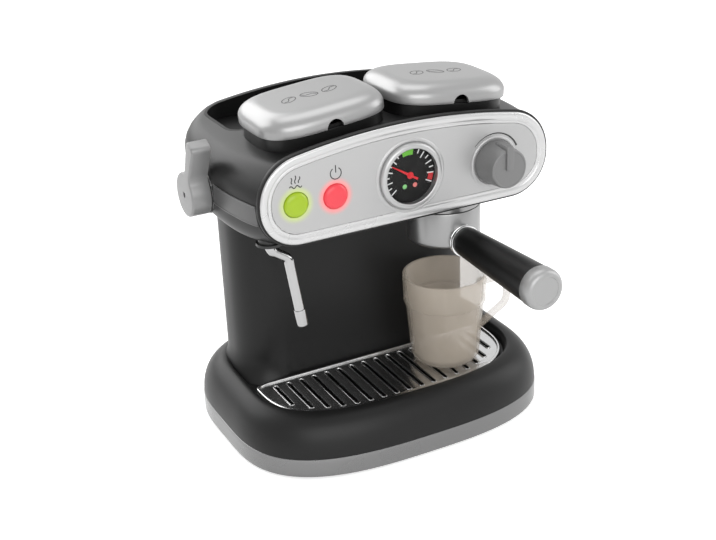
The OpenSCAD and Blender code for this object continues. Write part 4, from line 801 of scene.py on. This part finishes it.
# ---------------- control knob
# Grey satin knob on a steel spindle: a slight cone with a fine edge ring on its face and
# one raised pointer rib.
KNOB_FRONT, KNOB_LEN = -79.9, 16.5
knob_grey = finish_of("knob_grey", grey(124), 0.42, 0.2, tone=0.08, scale=2400)
knob_profile = [(0, 0.2), (10.3, 0.2), (10.5, 0), (11.1, 0), (11.5, 0.15), (11.8, 0.5),
                (11.9, 1.0), (12.3, 5), (12.8, 10), (13.2, 14), (13.45, 15.9), (13.4, 16.3),
                (13.0, KNOB_LEN), (2.9, KNOB_LEN), (2.9, 3), (0, 3)]
knob = turned("knob_body", knob_profile, (KNOB_X, KNOB_FRONT, KNOB_Z), "Y", 128)
rib_half, rib_top, rib_out, rib_run = 2.5, 14.1, 1.2, 11.5
rib_rings = []
for inset, z in ((0.5, -0.2), (0.5, 9.5), (0.5, 12.8), (0.8, 13.7), (1.2, rib_top)):
    w, f, b = rib_half - inset + 0.5, KNOB_FRONT - rib_out + inset - 0.5, KNOB_FRONT + rib_run
    rib_rings.append([(KNOB_X - w, b, KNOB_Z + z), (KNOB_X + w, b, KNOB_Z + z),
                      (KNOB_X + w, f + 0.5, KNOB_Z + z), (KNOB_X + w - 0.15, f + 0.15, KNOB_Z + z),
                      (KNOB_X + w - 0.5, f, KNOB_Z + z), (KNOB_X - w + 0.5, f, KNOB_Z + z),
                      (KNOB_X - w + 0.15, f + 0.15, KNOB_Z + z),
                      (KNOB_X - w, f + 0.5, KNOB_Z + z)])
carve(knob, skin("rib", rib_rings), join=True)
fit(knob, "control_knob", "grey", knob_grey, "control_knob")
refinish(steel, "knob_spindle")

# ---------------- steam lever
# Grey satin lever on the head's left side: a round hub whose blade leans forward, with a
# dimple in the hub's face. It turns on a steel spindle against a steel washer.
LEVER_IN, LEVER_W, LEVER_REACH, LEVER_LEAN, HUB_R, BLADE = -103.1, 12.0, 38.0, 25.0, 13.4, 5.0
lever_grey = finish_of("lever_grey", grey(142), 0.38, 0.25, tone=0.08, scale=2400)
FILLET, NECK, LEVER_TIP = 7.0, 3.7, 3.0


def lever_outline(inset):
    """Outline of hub and blade as (reach, across), drawn in by inset."""
    away, clear = math.sqrt((HUB_R + FILLET) ** 2 - (NECK + FILLET) ** 2), NECK + FILLET
    meet = math.degrees(math.atan2(clear, away))
    hub, fillet, tip = HUB_R - inset, FILLET + inset, LEVER_TIP - inset
    u, v = LEVER_REACH - LEVER_TIP, BLADE - LEVER_TIP
    return (arc(0, 0, hub, hub, meet, 360 - meet, 48)
            + arc(away, -clear, fillet, fillet, 180 - meet, 90, 10)[1:]
            + arc(u, -v, tip, tip, -90, 0, 6) + arc(u, v, tip, tip, 0, 90, 6)
            + arc(away, clear, fillet, fillet, 270, 180 + meet, 10)[:-1])


lean_c, lean_s = cosd(LEVER_LEAN), sind(LEVER_LEAN)


def on_lever(u, v, w):
    """A point of the lever from its reach, its place across and its height off the head."""
    return (LEVER_IN - w, LEVER_Y + v * lean_c - u * lean_s, LEVER_Z + v * lean_s + u * lean_c)


lever_rings = [[on_lever(u, v, w) for u, v in lever_outline(inset)] for inset, w in
               ((0.6, 0), (0.15, 0.15), (0, 0.6), (0, 6), (0, 10.6), (0.15, 11.3), (0.5, 11.75),
                (1.0, 11.95), (1.6, LEVER_W))]
lever = skin("lever_arm", lever_rings)
carve(lever, drill(1.7, -0.9, 3, (LEVER_IN - LEVER_W, LEVER_Y, LEVER_Z), "X", 32),
      drill(3.5, 0, 12, (LEVER_IN - LEVER_W + 3, LEVER_Y, LEVER_Z), "X", 48))
fit(lever, "steam_lever", "grey", lever_grey, "steam_lever")
refinish(steel, "steam_spindle", "steam_bushing")

# ---------------- steam wand
# Chrome-plated bent tube that swivels in a black socket under the head, with a wider
# nozzle pushed over its lower end.
wand_chrome = finish_of("wand_chrome", grey(170), 0.14, 1.0, tone=0.05, spread=0.05, scale=900,
                        bump=0.000003)
wand_path = [(WAND_X, 147.0), (WAND_X, 143.4), (-73.0, 136.0), (-66.3, 91.2)]
WAND_R, BEND_R, NOZZLE = 3.0, 6.5, 11.0


def bent(points, radius, steps=8):
    """A flat path whose corners are rounded."""
    line = [Vector(points[0])]
    for before, here, after in zip(points, points[1:], points[2:]):
        before, here, after = Vector(before), Vector(here), Vector(after)
        into, out = (here - before).normalized(), (after - here).normalized()
        turn = into.angle(out)
        reach = radius * math.tan(turn / 2)
        side = 1 if into.x * out.y - into.y * out.x > 0 else -1
        start = here - into * reach
        middle = start + side * radius * Vector((-into.y, into.x))
        heading = math.atan2(into.y, into.x)
        for k in range(steps + 1):
            h = heading + side * turn * k / steps
            line.append(middle + side * radius * Vector((math.sin(h), -math.cos(h))))
    line.append(Vector(points[-1]))
    return line


tip, elbow = Vector(wand_path[-1]), Vector(wand_path[-2])
fall = (tip - elbow).normalized()
tube_stop = tip - fall * (NOZZLE - 3)
tube = sweep("wand_pipe", [(p.x, WAND_Y, p.y) for p in bent(wand_path[:-1] + [tuple(tube_stop)],
                                                            BEND_R)], WAND_R, 32)
neck = turned("wand_neck", [(0, 0), (3.9, 0), (4.3, 0.15), (4.4, 0.5), (4.4, 7.0), (5.8, 7.0),
                            (5.8, 8.6), (0, 8.6)], (WAND_X, WAND_Y, 146.0), "Z", 48)
wand = merge("wand_chrome", [tube, neck])
fit(wand, "wand", "chrome", wand_chrome, "wand_tube")
nozzle_rings = []
for r, s in ((WAND_R + 0.02, 0.05), (3.3, 0.0), (3.5, 0.25), (3.5, 9.9), (3.35, 10.6), (3.0, 11.0),
             (1.0, 11.0), (1.0, 8.4), (WAND_R + 0.02, 8.2)):
    centre = tip - fall * (NOZZLE - s)
    nozzle_rings.append([(centre.x + r * math.cos(a) * -fall.y, WAND_Y + r * math.sin(a),
                          centre.y + r * math.cos(a) * fall.x)
                         for a in (2 * math.pi * k / 48 for k in range(48))])
nozzle = skin("wand_nozzle_tip", nozzle_rings, True)
fit(nozzle, "wand", "chrome", wand_chrome, "wand_nozzle")
socket_black = finish_of("socket_black", grey(26), 0.4, scale=1800)
refinish(socket_black, "wand_socket")

# ---------------- group and portafilter
# Silver group ring under the head and the bowl that locks into it, with a chrome collar,
# a black grip that widens outwards and a silver end cap, all on a steel rod.
BOWL_R, BOWL_LOW, BOWL_TOP, HANDLE_Z = 22.8, 118.8, 141.6, 124.0
GRIP_START, HANDLE_END, ROD_R, OUTLET_R = -57.5, -142.0, 4.0, 4.5
group_silver = finish_of("group_silver", grey(146), 0.3, 0.85, tone=0.06,
                         bump=0.000006)
grip_black = finish_of("grip_black", grey(16), 0.38, scale=2200,
                       Specular_IOR_Level=0.3)
group = turned("group_ring", [(15, 142), (15.95, 142), (15.95, 143.5), (19.05, 143.5),
                              (19.05, 142), (22.3, 142), (22.65, 142.15), (BOWL_R, 142.5),
                              (BOWL_R, 148.4), (22.65, 148.85), (22.2, 149), (18, 149),
                              (18, 150.9), (1.7, 150.9), (1.7, 148.5), (15, 148.5), (15, 142)],
               (GROUP_X, GROUP_Y, 0), "Z", 128)
fit(group, "machine", "silver", group_silver, "group_head")
bowl = turned("bowl_body", [(0, 121.4), (20.5, 121.4), (20.5, 139.6), (13.55, 139.6),
                            (13.55, 147.2), (14.95, 147.2), (14.95, BOWL_TOP), (22.2, BOWL_TOP),
                            (22.65, 141.45), (BOWL_R, 141.1), (BOWL_R, 121.4), (22.65, 120.4),
                            (22.2, 119.5), (21.5, 119.0), (20.6, BOWL_LOW), (0, BOWL_LOW)],
              (GROUP_X, GROUP_Y, 0), "Z", 128)
carve(bowl, drill(ROD_R, -60, -51.8, (GROUP_X, 0, HANDLE_Z), "Y", 48),
      drill(OUTLET_R, 110, 125, (GROUP_X, GROUP_Y, 0), "Z", 48))
fit(bowl, "portafilter", "silver", group_silver, "portafilter_bowl")
collar = turned("collar_rings", [(ROD_R, 0), (9.6, 0), (9.92, 0.12), (10, 0.4), (10, 1.2),
                                 (9.9, 1.5), (9.5, 1.65), (8.9, 1.8), (8.9, 2.2), (9.3, 2.35),
                                 (9.62, 2.6), (9.7, 3.0), (9.7, 3.4), (9.6, 3.8), (9.3, 4.05),
                                 (9.1, 4.2), (9.1, 9.4), (ROD_R, 9.4), (ROD_R, 0)],
                (GROUP_X, GRIP_START, HANDLE_Z), "Y")
carve(collar, drill(BOWL_R, 100, 150, (GROUP_X, GROUP_Y, 0), "Z", 192))
fit(collar, "portafilter", "chrome", chrome, "handle_collar")
grip_line = [(ROD_R, 0), (8.7, 0), (9.1, -0.3), (9.2, -0.9)]
grip_line += [(9.2 + 2.9 * (s / 20) ** 0.92, -1.5 - 73.2 * s / 20) for s in range(1, 21)]
grip_line += [(12.05, -75.2), (11.7, -75.5), (ROD_R, -75.5), (ROD_R, 0)]
grip = turned("grip_body", grip_line, (GROUP_X, GRIP_START, HANDLE_Z), "Y")
fit(grip, "portafilter", "black_shell", grip_black, "handle_grip")
cap_silver = finish_of("cap_silver", grey(162), 0.4, 0.5, tone=0.05, scale=2600, bump=0.000006)
cap = turned("cap_body", [(0, 0.45), (8.2, 0.45), (8.45, 0.12), (8.9, 0), (9.8, 0.08), (10.7, 0.4),
                          (11.5, 1.1), (12.1, 2.1), (12.4, 3.2), (12.5, 4.2), (12.5, 8.6),
                          (12.35, 8.95), (12.0, 9), (ROD_R, 9), (ROD_R, 4), (0, 4)],
             (GROUP_X, HANDLE_END, HANDLE_Z), "Y")
fit(cap, "portafilter", "silver", cap_silver, "handle_cap")
seal_rubber = finish_of("seal_rubber", grey(30), 0.7, bump=0.00002)
refinish(seal_rubber, "group_seal", "portafilter_outlet")
refinish(steel, "handle_rod")

# ---------------- lids
# Two silver-painted lids, flat on top with wide round edges, a half-round finger notch in
# front and two hinge ears behind, which turn on steel pins. Printed beans on each top.
LID_H, LID_ROUND, LID_WALL, NOTCH_R = 12.0, 11.8, 2.0, 5.2
LID_SIDE = 0.3 * LID_H
HINGE_Y, HINGE_Z, EAR_R, PIN_R = 36.5, -4.0, 3.4, 1.5
lid_silver = finish_of("lid_silver", grey(160), 0.34, 0.55, tone=0.05, scale=3000, bump=0.000006)
bean_print = finish_of("bean_print", grey(70), 0.45, 0.3, scale=2500, bump=0.000004)


def lid_ring(inset, z, count=128):
    """A ring of the lid, drawn in by inset, at a height of its own frame."""
    return level(superellipse(LID_HALF_W - inset, LID_HALF_D - inset, LID_POWER, count), z)


def to_lid(piece, side):
    """Moves a mesh from a lid's own frame to the machine's."""
    place = Matrix.Translation(Vector((side * LID_X, LID_Y, LID_Z)) * MM)
    piece.data.transform(place @ Matrix.Rotation(math.radians(side * LID_TILT), 4, "Y"))
    return piece


def ear(x0, x1, r, arm):
    """A hinge ear between two places across the lid. arm is its outline to the lid."""
    line = arc(HINGE_Y, HINGE_Z, r, r, 0, -255, 17) + arm
    return skin("ear", [[(x, y, z) for y, z in line] for x in (x0, x1)])


def bean(x, y, size, turn):
    """Outline and seam of one printed bean."""
    outline = arc(0, 0, size, 0.68 * size, 0, 360, 32)[:-1]
    seam = [(0.86 * size * s, 0.2 * size * math.sin(math.pi * s))
            for s in (-1 + i / 16 for i in range(33))]
    return [[(x + u * cosd(turn) - v * sind(turn), y + u * sind(turn) + v * cosd(turn))
             for u, v in line] for line in (outline + outline[:1], seam)]


def on_lid(u, v, h):
    """A point h above the lid's flat top."""
    return (u, v, LID_H + h)


for side, body in ((-1, "lid_left"), (1, "lid_right")):
    outer = [(0.25, 0), (0.06, 0.06), (0, 0.3), (0, 1.8)]
    outer += arc(LID_ROUND, LID_SIDE, -LID_ROUND, LID_H - LID_SIDE, 0, 90, 15)
    outer += [(15, LID_H), (22, LID_H)]
    bend = LID_ROUND - 1
    within = arc(LID_WALL + bend, LID_SIDE, -bend, LID_H - LID_SIDE - LID_WALL, 90, 0, 9)
    within.append((LID_WALL, 0))
    lid = skin(body + "_cover", [lid_ring(i, z) for i, z in [(22, LID_H - LID_WALL)] + within
                                 + outer])
    arm = [(HINGE_Y - 0.4, -0.6), (HINGE_Y - 0.4, 0.2), (31.1, 0.2), (31.1, 2.8),
           (HINGE_Y + EAR_R - 0.8, 2.8), (HINGE_Y + EAR_R, 2.0)]
    carve(lid, drill(NOTCH_R, 0, 4, (0, -LID_HALF_D - 1.4, 0), "Y", 48))
    ears = merge("ears", [ear(11.2, 14.2, EAR_R, arm), ear(-14.2, -11.2, EAR_R, arm)])
    carve(lid, ears, join=True)
    carve(lid, drill(PIN_R + 0.05, -20, 20, (0, HINGE_Y, HINGE_Z), "X", 32))
    to_lid(lid, side)
    fit(lid, body, "silver", lid_silver, body)
    lines = [l for x, turn in ((-13, 35), (0, -30), (13, 25)) for l in bean(x, -1, 5.2, turn)]
    beans = merge(body + "_print", strip(lines, 0.6, PRINT_RISE, on_lid))
    to_lid(beans, side)
    fit(beans, body, "dial_black", bean_print)

# ---------------- bins
# Black moulded bins that hang in the head under the lids: a collar shows all round each
# lid, and two lugs behind carry the hinge pin.
BIN_DEPTH, BIN_WALL = 24.0, 1.6
bin_black = finish_of("bin_black", grey(20), 0.35, scale=2000,
                      Specular_IOR_Level=0.35)
for side, name, node in ((-1, "tank_bin", "water_tank"), (1, "bean_hopper", "bean_bin")):
    line = [(-3.8, -BIN_DEPTH + BIN_WALL), (-3.8, 1.4), (-2.2, 1.4), (-2.2, -0.4), (-0.3, -0.4),
            (0, -0.7), (0, -BIN_DEPTH + 1), (-1, -BIN_DEPTH)]
    hopper = skin(name, [[(x, y, z) for x, y in bin_plan(g)] for g, z in line])
    lug_line = arc(HINGE_Y, HINGE_Z, 3, 3, -90, 90, 12) + [(30.0, -1.0), (30.0, -7.0)]
    lugs = [skin("lug", [[(x, y, z) for y, z in lug_line] for x in pair])
            for pair in ((7.9, 10.7), (-10.7, -7.9))]
    carve(hopper, merge("lugs", lugs), join=True)
    carve(hopper, drill(PIN_R, -20, 20, (0, HINGE_Y, HINGE_Z), "X", 32))
    to_lid(hopper, side)
    if side < 0:
        outlet = (BIN_DEPTH * sind(LID_TILT) - LID_X, LID_Y + 18,
                  LID_Z - BIN_DEPTH * cosd(LID_TILT))
        carve(hopper, turned("outlet", [(2.7, -3), (2.7, 0.8)], outlet, "Z", 48), join=True)
        carve(hopper, drill(1.7, -4, 5, outlet, "Z", 48))
    fit(hopper, "machine", "black_inner", bin_black, node)
refinish(steel, "lid_hinge_pins")

# ---------------- cup
# Cup of smoky translucent plastic with a step below its upper band and a rounded foot. Its
# loop handle is solid, and a little clearer.
CUP_Z, CUP_FOOT, CUP_H, CUP_STEP, CUP_WALL, FOOT_R = 32.7, 22.3, 61.0, 42.0, 1.8, 8.0
cup_smoke = finish_of("cup_smoke", rgb(214, 203, 188), 0.2, tone=0.04, scale=900,
                      bump=0.000003, Alpha=0.42)
foot = arc(CUP_FOOT - FOOT_R, FOOT_R, FOOT_R, FOOT_R, -90, 0, 15)
outside = [(0, 0)] + foot + [(25.0, CUP_STEP - 0.6), (25.2, CUP_STEP - 0.1), (25.7, CUP_STEP + 0.3),
                             (26.2, CUP_STEP + 0.55), (26.4, CUP_STEP + 0.9),
                             (26.8, CUP_H - 0.9), (26.72, CUP_H - 0.3), (26.4, CUP_H),
                             (25.5, CUP_H), (25.1, CUP_H - 0.3)]
cavity = [(25.0, CUP_H - 1), (25.0, CUP_STEP + 1.6), (24.6, CUP_STEP + 1.1), (23.6, CUP_STEP + 0.6),
          (23.4, CUP_STEP)]
cavity += [(r * (1 - CUP_WALL / CUP_FOOT), CUP_WALL + h * (1 - CUP_WALL / FOOT_R))
           for r, h in reversed(foot)] + [(0, CUP_WALL)]
cup_wall = turned("cup_body", outside + cavity, (GROUP_X, GROUP_Y, CUP_Z), "Z", 128)
loop = [(23.8 + 1.6, 47.6), (47.4, 47.6), (47.4, 29.0), (21.6, 14.0)]
handle = sweep("cup_handle", [(GROUP_X + p.x, GROUP_Y, CUP_Z + p.y) for p in bent(loop, 8.0, 12)],
               2.6, 24)
loop_clear = finish_of("loop_clear", rgb(196, 185, 172), 0.2, tone=0.03, scale=900, bump=0.000003,
                       Alpha=0.34)
fit(cup_wall, "cup", "cup_clear", cup_smoke, "cup")
fit(handle, "cup", "cup_clear", loop_clear)

# ---------------- base closure
# Black plate that closes the base from below, with the battery door, four rubber feet and
# the screws. All of them keep their CAD shapes.
plate_black = finish_of("plate_black", grey(32), 0.5, bump=0.00002)
foot_rubber = finish_of("foot_rubber", grey(26), 0.8, scale=1200, bump=0.00003)
refinish(plate_black, "base_plate", "battery_door")
refinish(foot_rubber, "rubber_feet")
refinish(steel, "base_screws")

# ---------------- rear and inner parts
# Rear cover with speaker slots, and the works out of sight: shelf, pump, hoses, speaker,
# battery box, cells, contacts, switches, lamps and board. They keep their CAD shapes.
board_green = finish_of("board_green", rgb(30, 95, 55), 0.4)
hose_clear = finish_of("hose_silicone", grey(205), 0.35, scale=900, bump=0.000005)
cell_jacket = finish_of("cell_jacket", rgb(70, 90, 120), 0.3, 0.4, scale=1200, bump=0.000005)
white_nylon = finish_of("white_nylon", grey(225), 0.45)
lamp_clear = finish_of("lamp_clear", grey(235), 0.15, scale=900, bump=0.000002)
refinish(black_satin, "rear_cover")
refinish(plate_black, "chassis", "pump_housing", "battery_box", "speaker", "button_switches",
         "rotary_switch")
refinish(steel, "rear_cover_screws", "pump_motor", "battery_contacts")
refinish(white_nylon, "pump_impeller")
refinish(hose_clear, "inlet_hose", "delivery_hose")
refinish(cell_jacket, "battery_cells")
refinish(lamp_clear, "button_lamps")
refinish(board_green, "switch_board")

# ---------------- floor, light and camera
# Plain pale floor and white surroundings, with four soft studio lamps: overhead, front,
# behind on the left, and right.
floor_mesh = bpy.data.meshes.new("floor")
floor_mesh.from_pydata([(-4, -4, 0), (4, -4, 0), (4, 4, 0), (-4, 4, 0)], [], [(0, 1, 2, 3)])
floor = show("floor", floor_mesh)
floor_white = finish_of("floor_white", grey(243), 0.6, tone=0.0, spread=0.0, scale=200,
                        bump=0.000001)
floor_mesh.materials.append(floor_white)
FLOOR_GLOW, WORLD_FILL = 0.55, 0.3


def seen_by(tree):
    """1 for the rays that show the background: camera, glossy and transmission."""
    rays = add(tree, "LightPath")
    last = rays["Is Camera Ray"]
    for kind in ("Is Glossy Ray", "Is Transmission Ray"):
        last = add(tree, "Math", {0: last, 1: rays[kind]}, operation="MAXIMUM")[0]
    return last


lift = floor_white.node_tree
glow = add(lift, "Math", {0: seen_by(lift), 1: FLOOR_GLOW}, operation="MULTIPLY")[0]
feed(lift, lift.nodes["Principled BSDF"], {"Emission Color": (1, 1, 1, 1),
                                           "Emission Strength": glow})

world = bpy.data.worlds.new("studio")
bpy.context.scene.world = world
world.use_nodes = True
sky = world.node_tree
sky_level = add(sky, "MapRange", {"Value": seen_by(sky), "To Min": WORLD_FILL, "To Max": 1.0})
feed(sky, sky.nodes["Background"], {"Strength": sky_level["Result"], "Color": (1, 1, 1, 1)})


def softbox(name, place, aim, size, power):
    """A rectangular lamp that shines from its place at a point."""
    lamp = bpy.data.lights.new(name, "AREA")
    lamp.shape = "RECTANGLE"
    lamp.size, lamp.size_y = size
    lamp.energy = power
    holder = show(name, lamp)
    holder.location = place
    holder.rotation_euler = (Vector(aim) - Vector(place)).to_track_quat("-Z", "Y").to_euler()


softbox("overhead", (0.1, 0.2, 1.1), (0, 0, 0.15), (0.8, 0.6), 3)
softbox("front", (-0.3, -1.2, 0.66), (0, 0, 0.14), (1.3, 0.9), 9.5)
softbox("left_rear", (-0.5, 1.05, 0.85), (0, 0, 0.2), (1.6, 1.0), 13)
softbox("right", (1.0, -0.35, 0.5), (0, 0, 0.1), (0.6, 0.8), 3.5)

# Camera at the photograph's angle. Its distance and offsets are in half widths of the base.
YAW, PITCH, ROLL = -26.556, 24.243, -2.405
SHIFT_X, SHIFT_Y, AWAY, LENS, AIM = 0.088, -0.373, 7.957, 64.48, (0, -7.2, 52.5)
back = Vector((sind(YAW) * cosd(PITCH), -cosd(YAW) * cosd(PITCH), sind(PITCH)))
right = Vector((cosd(YAW), sind(YAW), 0))
above = back.cross(right)
across = cosd(ROLL) * right + sind(ROLL) * above
upward = -sind(ROLL) * right + cosd(ROLL) * above
eye = Vector(AIM) + BASE_HALF_W * (-SHIFT_X * across - SHIFT_Y * upward + AWAY * back)
lens = bpy.data.cameras.new("camera")
lens.lens, lens.sensor_width, lens.sensor_fit = LENS, 36, "HORIZONTAL"
lens.clip_start = 0.01
camera = show("camera", lens)
turn = Matrix((across, upward, back)).transposed().to_4x4()
camera.matrix_world = Matrix.Translation(eye * MM) @ turn
bpy.context.scene.camera = camera
bpy.context.scene.view_settings.view_transform = "Standard"
